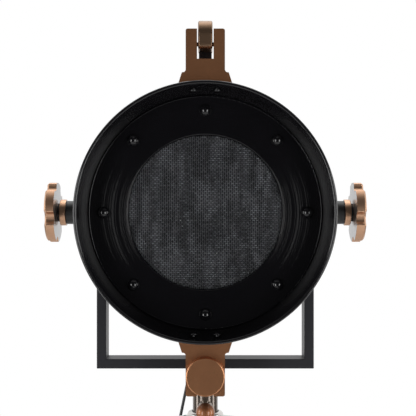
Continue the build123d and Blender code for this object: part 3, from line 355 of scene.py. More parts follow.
def hood_lacquer(name, colour, rough, worn_rough):
    """Black lacquer on the spun hood: worn dull to the lathe's rings at the sides, behind the rim."""
    finish = new_material(name)
    rings, sides = spun_rings(finish)
    along = finish.part(finish.place(), "Y")
    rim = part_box("hood_shell")[0].y
    worn = sides * finish.spread(along, rim + WEAR_START, rim + WEAR_FULL)
    cloud = finish.noise(16.0, detail=4.0)
    return finish.surface(
        Base_Color=finish.shades(cloud, colour, 0.75, 1.25),
        Roughness=rough + finish.swing(cloud, 0.06) + worn * (worn_rough - rough),
        Normal=finish.bump(rings * worn, distance=0.00034, strength=1.0),
        IOR=1.5,
        Coat_Weight=worn,
        Coat_Roughness=0.55,
    )


def bezel_lacquer(name, colour, rough):
    """Glossy black on the bezel, with faint rings at its sides."""
    finish = new_material(name)
    rings, sides = spun_rings(finish)
    cloud = finish.noise(16.0, detail=4.0)
    return finish.surface(
        Base_Color=finish.shades(cloud, colour, 0.7, 1.3),
        Roughness=rough + finish.swing(cloud, 0.08),
        Normal=finish.bump(rings * sides, distance=0.00015, strength=1.0),
        IOR=1.35,
    )


def plated_metal(name, colour, rough, patina, coat=0.0):
    """Plated metal: clouded, with darker patina in patches, a fine satin grain and lacquer if wanted."""
    finish = new_material(name)
    cloud = finish.noise(30.0, detail=5.0, rough=0.6)
    patch = finish.spread(finish.noise(85.0, detail=6.0, rough=0.65), 0.5, 0.8) * patina
    fine = finish.grain((420.0, 420.0, 2600.0), detail=3.0, rough=0.6)
    base = finish.shades(cloud, colour, 0.82, 1.15)
    return finish.surface(
        Base_Color=finish.mixed(patch, base, tinted(colour, 0.55)),
        Metallic=1.0,
        Roughness=rough + finish.swing(fine, 0.1) + patch * 0.15,
        Normal=finish.bump(fine, distance=0.0002, strength=0.04),
        Coat_Weight=coat,
        Coat_Roughness=0.08,
    )


def knob_neck():
    """Start and end of the star knobs' neck, from the middle of the lamp."""
    low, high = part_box("right_tilt_knob")
    return low.x + COLLAR, high.x - STAR


def knob_copper(name, colour, rough, plate, neck_shade_colour):
    """Polished copper star: bright plate on the face towards the lamp, and painted shade, near black, on the neck
    behind it.
    """
    finish = new_material(name)
    across = finish.part(finish.place(), "X")
    reach = (across * across) ** 0.5
    outwards = finish.part(finish.add("ShaderNodeTexCoord", out="Normal"), "X") * across / reach
    plated = finish.spread(0 - outwards, 0.8, 0.95)
    start, end = knob_neck()
    past_collar = finish.spread(reach, start, start + NECK_SHADE_BORDER)
    past_neck = finish.spread(reach, end - NECK_SHADE_BORDER, end)
    # Painted shade: the neck between collar and star is coloured near black, and made rougher and not metal
    neck_shade = past_collar * (1 - past_neck)
    cloud = finish.noise(40.0, detail=5.0, rough=0.6)
    scratch = finish.spread(finish.grain((2600.0, 300.0, 300.0), detail=3.0, rough=0.6), 0.55, 0.75)
    copper = finish.shades(cloud, colour, 0.85, 1.15)
    return finish.surface(
        Base_Color=finish.mixed(neck_shade, finish.mixed(plated, copper, plate), neck_shade_colour),
        Metallic=1 - neck_shade,
        Roughness=rough + finish.swing(cloud, 0.08) + scratch * 0.08 + neck_shade * 0.3,
        Normal=finish.bump(scratch, distance=0.00004, strength=0.1),
    )


def polished_metal(name, colour, rough, metal=1.0):
    """Polish with faint smears and hairlines; the less metal, the more lacquer it has."""
    finish = new_material(name)
    smear = finish.spread(finish.noise(22.0, detail=5.0, rough=0.65), 0.4, 0.75)
    hair = finish.spread(finish.grain((900.0, 900.0, 60.0), detail=2.0, rough=0.5), 0.62, 0.7)
    return finish.surface(
        Base_Color=finish.shades(smear, colour, 1.0, 0.88),
        Metallic=metal,
        Roughness=rough * (1 + smear * 0.5 + hair * 0.4),
        Normal=finish.bump(hair, distance=0.00005, strength=0.05),
    )


def moulded(name, colour, rough, texture=0.12):
    """Moulded plastic or rubber with a fine spark-eroded texture."""
    finish = new_material(name)
    cloud = finish.noise(18.0, detail=4.0)
    return finish.surface(
        Base_Color=finish.shades(cloud, colour, 0.8, 1.25),
        Roughness=rough + finish.swing(cloud, 0.14),
        Normal=finish.bump(finish.noise(1400.0, detail=2.0), distance=0.0003, strength=texture),
    )


def woven_wire(name, colour, tone):
    """Fine wire cloth: uneven upright bands crossed by short streaks, with a few painted glints as light spots.
    The factor on its colour lightens one copy of the wire as painted light and darkens another as painted shade.
    """
    finish = new_material(name)
    # Painted light and shade: the factor lightens the level wires' copy and darkens the upright wires' copy
    wire = tinted(colour, tone)
    band = finish.spread(finish.grain((95.0, 95.0, 22.0), detail=2.0, rough=0.5), 0.36, 0.66)
    streak = finish.spread(finish.grain((190.0, 190.0, 560.0), detail=2.0, rough=0.6), 0.35, 0.7)
    # Painted glints: a few spots on the wire are made much lighter
    painted_glint = finish.spread(finish.noise(420.0, detail=1.0, rough=0.5), 0.74, 0.8)
    shades = [(0.12, tinted(wire, 0.4)), (0.5, wire), (0.92, tinted(wire, 1.9))]
    base = finish.add("ShaderNodeValToRGB", {"stops": shades}, {"Fac": band * 0.42 + streak * 0.58})
    return finish.surface(
        Base_Color=finish.mixed(painted_glint, base, tinted(wire, 3.2)),
        Metallic=1.0,
        Roughness=0.42 + finish.swing(streak, -0.16),
    )


def smeared_glass(name, colour, rough):
    """Glass with faint smears."""
    finish = new_material(name)
    smear = finish.spread(finish.noise(25.0, detail=5.0, rough=0.65), 0.45, 0.8)
    return finish.surface(
        Base_Color=finish.shades(smear, colour, 1.0, 0.95),
        Roughness=rough + smear * 0.06,
        Transmission_Weight=1.0,
        IOR=1.45,
    )


# Each finish with its maker; a colour given by name is one of the lamp's colours
FINISHES = {
    "black_enamel": (stoved_paint, {"colour": "black", "rough": 0.24}),
    "leg_casting_paint": (stoved_paint, {"colour": "black", "rough": 0.4, "peel": 0.15}),
    "leg_paint": (stoved_paint, {"colour": "black", "rough": 0.34}),
    "dome_gloss": (stoved_paint, {"colour": "bezel", "rough": 0.05, "peel": 0.0}),
    "hood_lacquer": (hood_lacquer, {"colour": "black", "rough": 0.14, "worn_rough": 0.5}),
    "bezel_lacquer": (bezel_lacquer, {"colour": "bezel", "rough": 0.16}),
    "antique_copper": (plated_metal, {"colour": "copper", "rough": 0.36, "patina": 0.6}),
    "dome_copper": (plated_metal, {"colour": "dome", "rough": 0.56, "patina": 0.4, "coat": 0.6}),
    "worn_bronze": (plated_metal, {"colour": "bronze", "rough": 0.38, "patina": 0.5}),
    # The star's neck takes the near-black colour given here as painted shade
    "star_copper": (
        knob_copper,
        {"colour": "knob", "rough": 0.36, "plate": (0.56, 0.56, 0.56), "neck_shade_colour": (0.012, 0.011, 0.011)},
    ),
    # The pole's nickel is coloured dark as painted reflection of the dark room it mirrors
    "smoked_nickel": (polished_metal, {"colour": "smoked", "rough": 0.12, "metal": 0.45}),
    "cast_bright": (polished_metal, {"colour": "bright", "rough": 0.24}),
    "bright_nickel": (polished_metal, {"colour": "nickel", "rough": 0.16}),
    # One wire in two copies: the upright one darkened as painted shade, the level one lightened as painted light
    "upright_wire": (woven_wire, {"colour": "wire", "tone": 0.25}),
    "level_wire": (woven_wire, {"colour": "wire", "tone": 1.9}),
    "blackened_steel": (plated_metal, {"colour": (0.07, 0.068, 0.07), "rough": 0.36, "patina": 0.4}),
    "black_rubber": (moulded, {"colour": (0.014, 0.014, 0.0145), "rough": 0.66, "texture": 0.2}),
    "cord_rubber": (moulded, {"colour": (0.012, 0.012, 0.0125), "rough": 0.42, "texture": 0.06}),
    "black_nylon": (moulded, {"colour": (0.016, 0.016, 0.016), "rough": 0.45}),
    "phenolic_black": (moulded, {"colour": (0.008, 0.008, 0.008), "rough": 0.4}),
    "red_fibre": (moulded, {"colour": (0.12, 0.05, 0.03), "rough": 0.6}),
    "frosted_glass": (smeared_glass, {"colour": (0.2, 0.2, 0.21), "rough": 0.4}),
    "frosted_bulb": (smeared_glass, {"colour": (0.9, 0.9, 0.87), "rough": 0.3}),
    "spun_aluminium": (polished_metal, {"colour": (0.78, 0.78, 0.78), "rough": 0.14}),
    "bulb_cap_brass": (plated_metal, {"colour": (0.55, 0.45, 0.25), "rough": 0.25, "patina": 0.4}),
    "white_porcelain": (moulded, {"colour": (0.72, 0.7, 0.65), "rough": 0.2, "texture": 0.03}),
    "zinc_strip": (plated_metal, {"colour": (0.42, 0.42, 0.43), "rough": 0.34, "patina": 0.4}),
}


def finish_of(name):
    """A finish from the list: made once, and then found by its name."""
    material = bpy.data.materials.get(name)
    if material is None:
        make, settings = FINISHES[name]
        colour = settings["colour"]
        if isinstance(colour, str):
            colour = getattr(bpy.context.scene.lamp_colours, colour)
        material = make(name, **{**settings, "colour": colour})
    return material


class LampColours(bpy.types.PropertyGroup):
    """Finishes of the lamp, as linear colours."""

    black: bpy.props.FloatVectorProperty(
        name="Black enamel", description="Paint of the can, hood, yoke and legs", subtype="COLOR",
        size=3, min=0, max=1, default=(0.0065, 0.0062, 0.0072),
    )
    bezel: bpy.props.FloatVectorProperty(
        name="Bezel black", description="Paint of the bezel and the domed screws", subtype="COLOR",
        size=3, min=0, max=1, default=(0.0032, 0.003, 0.004),
    )
    copper: bpy.props.FloatVectorProperty(
        name="Antique copper", description="Plate on the clevises and the latch", subtype="COLOR",
        size=3, min=0, max=1, default=(0.48, 0.225, 0.112),
    )
    dome: bpy.props.FloatVectorProperty(
        name="Lacquered copper", description="Height knob", subtype="COLOR",
        size=3, min=0, max=1, default=(0.29, 0.12, 0.055),
    )
    knob: bpy.props.FloatVectorProperty(
        name="Polished copper", description="Star knobs", subtype="COLOR",
        size=3, min=0, max=1, default=(0.6, 0.36, 0.23),
    )
    bronze: bpy.props.FloatVectorProperty(
        name="Worn bronze", description="Hinge arm", subtype="COLOR",
        size=3, min=0, max=1, default=(0.26, 0.165, 0.105),
    )
    # Painted reflection: the pole's colour is made dark to stand for the dark room that it mirrors
    smoked: bpy.props.FloatVectorProperty(
        name="Smoked nickel", description="Pole", subtype="COLOR",
        size=3, min=0, max=1, default=(0.11, 0.087, 0.07),
    )
    bright: bpy.props.FloatVectorProperty(
        name="Bright casting", description="Hub", subtype="COLOR",
        size=3, min=0, max=1, default=(0.68, 0.66, 0.63),
    )
    nickel: bpy.props.FloatVectorProperty(
        name="Nickel", description="Wing nuts, switch and plug pins", subtype="COLOR",
        size=3, min=0, max=1, default=(0.66, 0.62, 0.56),
    )
    wire: bpy.props.FloatVectorProperty(
        name="Mesh wire", description="Woven wire in front of the glass", subtype="COLOR",
        size=3, min=0, max=1, default=(0.178, 0.182, 0.194),
    )


class LampSizes(bpy.types.PropertyGroup):
    """Sizes of the pieces that the scene adds to the solids."""

    mesh_pitch: bpy.props.FloatProperty(
        name="Mesh pitch", description="Distance between neighbouring wires",
        unit="LENGTH", default=0.00232,
    )
    mesh_wire: bpy.props.FloatProperty(
        name="Mesh wire", description="Width of one wire",
        unit="LENGTH", default=0.0011,
    )
    mesh_wave: bpy.props.FloatProperty(
        name="Mesh wave", description="How far a wire rises over the one it crosses",
        unit="LENGTH", default=0.00018,
    )
    cord_radius: bpy.props.FloatProperty(
        name="Cord radius", description="Half the cord's thickness",
        unit="LENGTH", default=0.002,
    )


class StudioSettings(bpy.types.PropertyGroup):
    """Camera and light."""

    camera_back: bpy.props.FloatProperty(
        name="Camera distance", description="Camera ahead of the tilt axis",
        unit="LENGTH", default=1.152,
    )
    lens: bpy.props.FloatProperty(
        name="Lens", description="Focal length on a 36 mm sensor",
        unit="CAMERA", default=77.9,
    )
    shift_x: bpy.props.FloatProperty(
        name="Shift X", description="Sideways framing", default=0.0065,
    )
    shift_y: bpy.props.FloatProperty(
        name="Shift Y", description="Upward framing", default=0.0108,
    )
    key_power: bpy.props.FloatProperty(
        name="Soft box power", description="Each of the two front soft boxes",
        unit="POWER", default=34.0,
    )
    side_power: bpy.props.FloatProperty(
        name="Side power", description="Each of the two panels at the sides",
        unit="POWER", default=43.0,
    )
    top_power: bpy.props.FloatProperty(
        name="Overhead power", description="Large overhead soft box",
        unit="POWER", default=12.0,
    )


def link(name, mesh):
    """A mesh as a piece of the scene."""
    piece = bpy.data.objects.new(name, mesh)
    bpy.context.scene.collection.objects.link(piece)
    return piece


def smooth(mesh):
    """Smooth shading that keeps sharp edges."""
    mesh.shade_smooth()
    mesh.set_sharp_from_angle(angle=SHARP)


def away(place):
    """The way straight out from the lamp's axis."""
    return Vector((place.x - TILT_AXIS.x, 0, place.z - TILT_AXIS.z)).normalized()


def dress(piece, node, material):
    """The piece takes a node's place: its body and its finish."""
    piece.data.materials.clear()
    piece.data.materials.append(material)
    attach(piece, BODY_OF[node])
    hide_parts(node)


def added(piece, node, material):
    """A piece that sits on a node: it takes the node's body."""
    piece.data.materials.append(material)
    smooth(piece.data)
    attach(piece, BODY_OF[node])


def painted(node, material):
    """A node that keeps its own mesh and gets its finish."""
    mesh = frame["nodes"][node].data
    if mesh.materials:
        mesh.materials[0] = material
    else:
        mesh.materials.append(material)


def settled(piece):
    """Makes what a piece's modifiers do part of its mesh."""
    graph = bpy.context.evaluated_depsgraph_get()
    piece.data = bpy.data.meshes.new_from_object(piece.evaluated_get(graph))
    piece.modifiers.clear()


def carved(piece, boxes):
    """Takes boxes out of a piece for good."""
    for box in boxes:
        cut = piece.modifiers.new("cut", "BOOLEAN")
        cut.operation = "DIFFERENCE"
        cut.solver = "EXACT"
        cut.object = box
    settled(piece)
    for box in boxes:
        bpy.data.meshes.remove(box.data)


def node_solid(node):
    """A node's own mesh, with its faces joined at their edges."""
    solid = bmesh.new()
    solid.from_mesh(frame["nodes"][node].data)
    bmesh.ops.remove_doubles(solid, verts=solid.verts, dist=WELD)
    return solid


def rounded(solid, edges, width):
    """Rounds edges of a solid."""
    bmesh.ops.bevel(
        solid, geom=edges, affect="EDGES", offset=width, segments=EDGE_STEPS, profile=0.5,
        clamp_overlap=True,
    )


def mesh_piece(name, solid):
    """A solid as a piece; the solid is used up."""
    mesh = bpy.data.meshes.new(name)
    solid.to_mesh(mesh)
    solid.free()
    return link(name, mesh)


def softened(node, width, material, boxes=()):
    """A node's own shape with its sharp outer edges rounded, less any boxes cut out of it."""
    solid = node_solid(node)
    bmesh.ops.dissolve_limit(solid, angle_limit=FLAT, verts=solid.verts, edges=solid.edges)
    outer = [edge for edge in solid.edges if edge.is_manifold and edge.is_convex]
    rounded(solid, [edge for edge in outer if edge.calc_face_angle() > SHARP], width)
    piece = mesh_piece(f"{node}_look", solid)
    if boxes:
        carved(piece, boxes)
    smooth(piece.data)
    weighted = piece.modifiers.new("even_shading", "WEIGHTED_NORMAL")
    weighted.keep_sharp = True
    dress(piece, node, material)
    return piece


def solids_of(node):
    """The points of each separate solid in a node."""
    solid = node_solid(node)
    left = set(solid.verts)
    groups = []
    for start in solid.verts:
        if start not in left:
            continue
        left.remove(start)
        reached = [start]
        for vertex in reached:
            for edge in vertex.link_edges:
                other = edge.other_vert(vertex)
                if other in left:
                    left.remove(other)
                    reached.append(other)
        groups.append([vertex.co.copy() for vertex in reached])
    solid.free()
    return groups


def box_piece(name, boxes, edge=0.0):
    """Boxes as one piece, each from its centre and three half sides, with rounded edges if wanted."""
    solid = bmesh.new()
    for centre, sides in boxes:
        shape = Matrix(sides).transposed().to_4x4()
        bmesh.ops.create_cube(solid, size=2.0, matrix=Matrix.Translation(centre) @ shape)
    if edge:
        rounded(solid, solid.edges[:], edge)
    bmesh.ops.recalc_face_normals(solid, faces=solid.faces[:])
    return mesh_piece(name, solid)


def ring_piece(name, rings, thick, sides=24, steps=8):
    """Round rings as one piece, each from its centre, its axis and its radius."""
    verts, faces = [], []
    for centre, axis, radius in rings:
        side = axis.orthogonal().normalized()
        up = axis.cross(side)
        first = len(verts)
        for s in range(sides):
            turn = 2 * pi * s / sides
            out = side * cos(turn) + up * sin(turn)
            for k in range(steps):
                roll = 2 * pi * k / steps
                verts.append(centre + out * (radius + thick * cos(roll)) + axis * thick * sin(roll))
        for s in range(sides):
            here, ahead = first + s * steps, first + (s + 1) % sides * steps
            for k in range(steps):
                rise = (k + 1) % steps
                faces.append((here + k, ahead + k, ahead + rise, here + rise))
    mesh = bpy.data.meshes.new(name)
    mesh.from_pydata(verts, [], faces)
    return link(name, mesh)


def tube(name, points, radius, sides=14):
    """A round tube along points, its section carried along without twisting."""
    verts, faces = [], []
    side = Vector((0, 1, 0))
    for k, point in enumerate(points):
        ahead = points[min(k + 1, len(points) - 1)] - points[max(k - 1, 0)]
        ahead.normalize()
        side = (side - ahead * side.dot(ahead)).normalized()
        up = ahead.cross(side)
        for s in range(sides):
            turn = 2 * pi * s / sides
            verts.append(point + (side * cos(turn) + up * sin(turn)) * radius)
    for k in range(len(points) - 1):
        for s in range(sides):
            a, b = k * sides + s, k * sides + (s + 1) % sides
            faces.append((a, b, b + sides, a + sides))
    faces.append(tuple(reversed(range(sides))))
    faces.append(tuple(range((len(points) - 1) * sides, len(points) * sides)))
    mesh = bpy.data.meshes.new(name)
    mesh.from_pydata(verts, [], faces)
    smooth(mesh)
    return link(name, mesh)


def spline_points(name, control):
    """Points along the smooth curve that a list of control points gives."""
    curve = bpy.data.curves.new(name, "CURVE")
    curve.dimensions = "3D"
    spline = curve.splines.new("NURBS")
    spline.points.add(len(control) - 1)
    for point, place in zip(spline.points, control):
        point.co = (*place, 1.0)
    spline.order_u = 3
    spline.use_endpoint_u = True
    spline.resolution_u = 6
    carrier = bpy.data.objects.new(name, curve)
    line = bpy.data.meshes.new_from_object(carrier)
    points = [vertex.co.copy() for vertex in line.vertices]
    bpy.data.objects.remove(carrier)
    bpy.data.curves.remove(curve)
    bpy.data.meshes.remove(line)
    return points


def coil_control():
    """The coil's control points: in along its lower layer, up at the middle, out along the upper one."""
    halves = 2 * COIL_TURNS
    inward = [COIL_OUTER - k * COIL_PITCH / 2 for k in range(halves)]
    radii = inward + [inward[-1] - COIL_PITCH / 2] + inward[::-1]
    # A quadratic curve runs inside its control points by this much
    outside = 1 / (0.75 + 0.25 * cos(pi / POINTS_PER_HALF_TURN))
    y, z, side = COIL_OUTER, 0.0, -1
    control = []
    for k, radius in enumerate(radii):
        rise = COIL_PITCH if k == halves else 0.0
        middle = y + side * radius
        for step in range(POINTS_PER_HALF_TURN):
            share = (step + 0.5) / POINTS_PER_HALF_TURN
            turn = pi * share
            across = side * radius * outside * sin(turn)
            along = middle - side * radius * outside * cos(turn)
            control.append(COIL_CENTRE + Vector((across, along, z + rise * share)))
        y, z, side = y + side * 2 * radius, z + rise, -side
    control.append(COIL_CENTRE + Vector((side * COIL_TAIL / 3, y, z)))
    control.append(COIL_CENTRE + Vector((side * COIL_TAIL, y, z)))
    return control


def run_length(points):
    """Length of the line through points."""
    return sum((b - a).length for a, b in zip(points, points[1:]))


class LAMP_OT_stage(bpy.types.Operator):
    """Sets the camera, the floor and the studio light"""

    bl_idname = "lamp.stage"
    bl_label = "Studio"

    def execute(self, context):
        scene = context.scene
        studio = scene.lamp_studio
        self.camera(scene, studio)
        self.floor()
        self.world(scene)
        for side, way in (("left", -1), ("right", 1)):
            self.soft_box(f"front_{side}", FRONT_BOX, way, studio.key_power)
            self.soft_box(f"side_{side}", SIDE_BOX, way, studio.side_power)
        self.soft_box("overhead", OVERHEAD_BOX, 1, studio.top_power)
        scene.view_settings.view_transform = "Standard"
        return {"FINISHED"}

    def camera(self, scene, studio):
        data = bpy.data.cameras.new("photo_camera")
        data.lens = studio.lens
        data.sensor_width = SENSOR_WIDTH
        data.shift_x = studio.shift_x
        data.shift_y = studio.shift_y
        camera = bpy.data.objects.new("photo_camera", data)
        scene.collection.objects.link(camera)
        camera.location = TILT_AXIS - LAMP_AXIS * studio.camera_back
        camera.rotation_euler = (pi / 2, 0, 0)
        scene.camera = camera

    def soft_box(self, name, box, way, power):
        """A soft box that faces the head, to the left of it for a way of -1 and to the right for 1."""
        (x, y, z), size = box
        data = bpy.data.lights.new(name, "AREA")
        data.shape = "RECTANGLE"
        data.size, data.size_y = size
        data.energy = power
        light = bpy.data.objects.new(name, data)
        bpy.context.scene.collection.objects.link(light)
        light.location = (way * x, y, z)
        light.rotation_euler = (TILT_AXIS - light.location).to_track_quat("-Z", "Y").to_euler()

    def floor(self):
        finish = new_material("pale_floor")
        base = finish.mixed(finish.noise(1.5), *FLOOR_TONES)
        paper = finish.add("ShaderNodeBsdfDiffuse", None, {"Color": base})
        finish.add("ShaderNodeOutputMaterial", None, {"Surface": paper})
        disc = bmesh.new()
        bmesh.ops.create_circle(disc, cap_ends=True, segments=FLOOR_SIDES, radius=FLOOR_R)
        floor = mesh_piece("floor", disc)
        floor.data.materials.append(finish.owner)

    def world(self, scene):
        """A dim room with a lighter back: the camera sees all of it white, and metal and glass its back."""
        world = bpy.data.worlds.new("studio")
        scene.world = world
        finish = Finish(world)
        camera, glossy, through = (
            finish.add("ShaderNodeLightPath", out=f"Is {kind} Ray")
            for kind in ("Camera", "Glossy", "Transmission")
        )
        way = finish.add("ShaderNodeTexCoord", out="Generated")
        slant = finish.part(way, "Y") + finish.part(way, "Z") * BEHIND_HEIGHT
        behind = finish.spread(slant, BEHIND_START, BEHIND_FULL)
        level = ROOM_LEVEL + behind * BEHIND_LEVEL
        room = finish.add("ShaderNodeBackground", None, {"Color": WHITE, "Strength": level})
        white = finish.add("ShaderNodeBackground", None, {"Color": WHITE, "Strength": 1.0})
        backdrop = camera + (glossy + through) * behind
        seen = finish.add("ShaderNodeMixShader", None, {"Fac": backdrop, 1: room, 2: white})
        finish.add("ShaderNodeOutputWorld", None, {"Surface": seen})


class LAMP_OT_cord(bpy.types.Operator):
    """Lays the cord from the boot under the can to the coil and its plug"""

    bl_idname = "lamp.cord"
    bl_label = "Cord"

    def execute(self, context):
        radius = context.scene.lamp_sizes.cord_radius
        material = finish_of("cord_rubber")
        softened("plug_body", PLUG_EDGE, material)
        softened("cord_tie", TIE_EDGE, material)
        points = spline_points("cord_route", CORD_ROUTE + coil_control())
        self.plug_grip(points[-1], material)
        painted("plug_pins", finish_of("bright_nickel"))
        runs = self.stretches(points)
        pieces = [tube(name, run, radius) for name, run in zip(CORD_PIECES, runs)]
        for piece in pieces:
            piece.data.materials.append(material)
        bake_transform(pieces[0])
        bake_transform(pieces[1])
        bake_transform(pieces[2])
        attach(pieces[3], "tripod")
        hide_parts("cord_drop")
        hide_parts("cord_coil")
        for piece, run in zip(pieces, runs):
            run_length(run)
        return {"FINISHED"}

    def stretches(self, points):
        """The cord's points in four runs, each starting where the one before it ends."""
        breaks = [next(k for k, point in enumerate(points) if point.z < height) for height in CORD_ENDS]
        spans = zip([0] + breaks, breaks + [len(points) - 1])
        return [points[first:last + 1] for first, last in spans]

    def plug_grip(self, end, material):
        """Ribs across the plug's grip, counted from the end where the cord goes in."""
        low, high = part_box("plug_body")
        middle = (low + high) / 2
        way = 1 if abs(low.x - end.x) < abs(high.x - end.x) else -1
        nose = low.x if way > 0 else high.x
        ribs = []
        for k in range(GRIP_RIBS):
            reach = GRIP_START + k * GRIP_STEP
            half = GRIP_NOSE / 2 + GRIP_SPREAD * reach
            sides = ((GRIP_RIB, 0, 0), (0, half, 0), (0, 0, GRIP_RIB))
            ribs.append((Vector((nose + way * reach, middle.y, high.z)), sides))
        added(box_piece("plug_grip", ribs, GRIP_EDGE), "plug_body", material)


class LAMP_OT_boot(bpy.types.Operator):
    """Finishes the cord's grip under the can, with ribs round its boot"""

    bl_idname = "lamp.boot"
    bl_label = "Cord boot"

    def execute(self, context):
        rubber = finish_of("black_rubber")
        softened("cord_gland", EDGE, rubber)
        tip = Vector(CORD_ROUTE[0])
        upwards = (tip - Vector(CORD_ROUTE[1])).normalized()
        rings = []
        for k in range(BOOT_RIBS):
            reach = BOOT_LENGTH * (k + BOOT_FIRST_RIB) / BOOT_RIBS
            radius = BOOT_TIP_R + (BOOT_R - BOOT_TIP_R) * reach / BOOT_LENGTH
            rings.append((tip + upwards * reach, upwards, radius))
        added(ring_piece("boot_ribs", rings, BOOT_RIB), "cord_gland", rubber)
        return {"FINISHED"}


class LAMP_OT_wire_mesh(bpy.types.Operator):
    """Weaves the wire mesh in front of the glass"""

    bl_idname = "lamp.wire_mesh"
    bl_label = "Wire mesh"

    def execute(self, context):
        verts, faces, kinds = self.weave(context.scene.lamp_sizes)
        mesh = bpy.data.meshes.new("woven_mesh")
        mesh.from_pydata(verts, [], faces)
        mesh.shade_smooth()
        # The upright wires take the copy with painted shade, the level wires the copy with painted light
        dress(link("woven_mesh", mesh), "lens_mesh", finish_of("upright_wire"))
        mesh.materials.append(finish_of("level_wire"))
        mesh.polygons.foreach_set("material_index", kinds)
        return {"FINISHED"}

    def weave(self, sizes):
        """Points and faces of the wires, and for each face 0 on an upright wire and 1 on a level one."""
        low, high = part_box("lens_mesh")
        centre = (low + high) / 2
        reach = (high.x - low.x) / 2 - MESH_INSIDE
        count = int(2 * reach / sizes.mesh_pitch)
        lines = [(k - (count - 1) / 2) * sizes.mesh_pitch for k in range(count)]
        half = sizes.mesh_wire / 2
        thick = (high.y - low.y) / 2 - sizes.mesh_wave
        section = ((-half, 0.0), (0.0, -thick), (half, 0.0), (0.0, thick))
        sides = len(section)
        verts, faces, kinds = [], [], []
        for upright in (True, False):
            for k, across in enumerate(lines):
                chord = sqrt(reach**2 - across**2)
                stops = [(j, along) for j, along in enumerate(lines) if abs(along) < chord]
                first = len(verts)
                for j, along in stops:
                    over = 1 if (j + k) % 2 else -1
                    wave = sizes.mesh_wave * (over if upright else -over)
                    for aside, dy in section:
                        flat = (across + aside, along) if upright else (along, across + aside)
                        verts.append((centre.x + flat[0], centre.y + wave + dy, centre.z + flat[1]))
                for j in range(len(stops) - 1):
                    for s in range(sides):
                        a, b = first + j * sides + s, first + j * sides + (s + 1) % sides
                        faces.append((a, b, b + sides, a + sides))
                        kinds.append(0 if upright else 1)
        return verts, faces, kinds


class LAMP_OT_lens(bpy.types.Operator):
    """Finishes the glass behind the mesh and its gasket"""

    bl_idname = "lamp.lens"
    bl_label = "Lens"

    def execute(self, context):
        painted("lens_glass", finish_of("frosted_glass"))
        painted("lens_gasket", finish_of("black_rubber"))
        return {"FINISHED"}


class LAMP_OT_hood(bpy.types.Operator):
    """Lacquers the hood, the bezel and its domed screws"""

    bl_idname = "lamp.hood"
    bl_label = "Hood"

    def execute(self, context):
        lacquer = finish_of("hood_lacquer")
        self.even_wall(softened("hood_shell", FINE_EDGE, lacquer))
        self.rim_bead(lacquer)
        softened("bezel_plate", FINE_EDGE, finish_of("bezel_lacquer"))
        softened("bezel_screws", FINE_EDGE, finish_of("dome_gloss"))
        return {"FINISHED"}

    def even_wall(self, hood):
        """Shades the tapered wall as a true cone: corner normals turn with their place round the axis."""
        settled(hood)
        mesh = hood.data
        normals = [corner.vector.copy() for corner in mesh.corner_normals]
        for face in mesh.polygons:
            if abs(abs(face.normal.y) - WALL_SLOPE) > WALL_SLOPE_SPAN:
                continue
            outwards = face.normal.dot(away(face.center))
            for corner in face.loop_indices:
                place = mesh.vertices[mesh.loops[corner].vertex_index].co
                normals[corner] = away(place) * outwards + LAMP_AXIS * face.normal.y
        mesh.normals_split_custom_set([normal.normalized() for normal in normals])

    def rim_bead(self, material):
        """The rolled bead at the rim."""
        low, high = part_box("hood_shell")
        middle = Vector((TILT_AXIS.x, low.y + RIM_BEAD_R, TILT_AXIS.z))
        ring = (middle, LAMP_AXIS, (high.x - low.x) / 2 - RIM_BEAD_R)
        bead = ring_piece("rim_bead", [ring], RIM_BEAD_R + RIM_BEAD_SKIN, RIM_SIDES, RIM_STEPS)
        added(bead, "hood_shell", material)


class LAMP_OT_can(bpy.types.Operator):
    """Paints the can, its rear dome and the brackets on it, and cuts the cross in the dome's screws"""

    bl_idname = "lamp.can"
    bl_label = "Can"

    def execute(self, context):
        enamel = finish_of("black_enamel")
        for node in ("can_shell", "can_back", "hinge_bracket", "latch_lug", "trunnion_bosses"):
            softened(node, EDGE, enamel)
        slots = [box_piece(f"slots_{k}", boxes) for k, boxes in enumerate(self.crosses())]
        softened("back_screws", FINE_EDGE, finish_of("blackened_steel"), slots)
        return {"FINISHED"}

    def crosses(self):
        """Boxes for the two bars of each screw's cross, all of one way first."""
        bars = ([], [])
        for points in solids_of("back_screws"):
            middle = sum(points, Vector()) / len(points)
            out = away(middle)
            level = max(point.dot(out) for point in points)
            top = middle + out * (level - middle.dot(out))
            round_can = LAMP_AXIS.cross(out)
            for bar, (long, wide) in zip(bars, ((LAMP_AXIS, round_can), (round_can, LAMP_AXIS))):
                bar.append((top, (long * CROSS_REACH, wide * CROSS_WIDE / 2, out * CROSS_DEEP)))
        return bars


class LAMP_OT_door_fittings(bpy.types.Operator):
    """Plates the clevises, the hinge and the latch"""

    bl_idname = "lamp.door_fittings"
    bl_label = "Hinge and latch"

    def execute(self, context):
        copper = finish_of("antique_copper")
        for node in ("top_clevis", "bottom_clevis", "latch_knob"):
            softened(node, EDGE, copper)
        softened("hinge_arm", EDGE, finish_of("worn_bronze"))
        softened("clevis_rivets", FINE_EDGE, finish_of("dome_gloss"))
        for node in ("hinge_pin", "latch_bolt"):
            painted(node, finish_of("blackened_steel"))
        return {"FINISHED"}


class LAMP_OT_tilt_knobs(bpy.types.Operator):
    """Polishes the star knobs and finishes the spacers, washers and studs behind them"""

    bl_idname = "lamp.tilt_knobs"
    bl_label = "Tilt knobs"

    def execute(self, context):
        for side in ("left", "right"):
            softened(f"{side}_tilt_knob", SOFT_EDGE, finish_of("star_copper"))
        softened("trunnion_spacers", EDGE, finish_of("phenolic_black"))
        softened("friction_washers", EDGE, finish_of("red_fibre"))
        painted("trunnion_studs", finish_of("blackened_steel"))
        return {"FINISHED"}


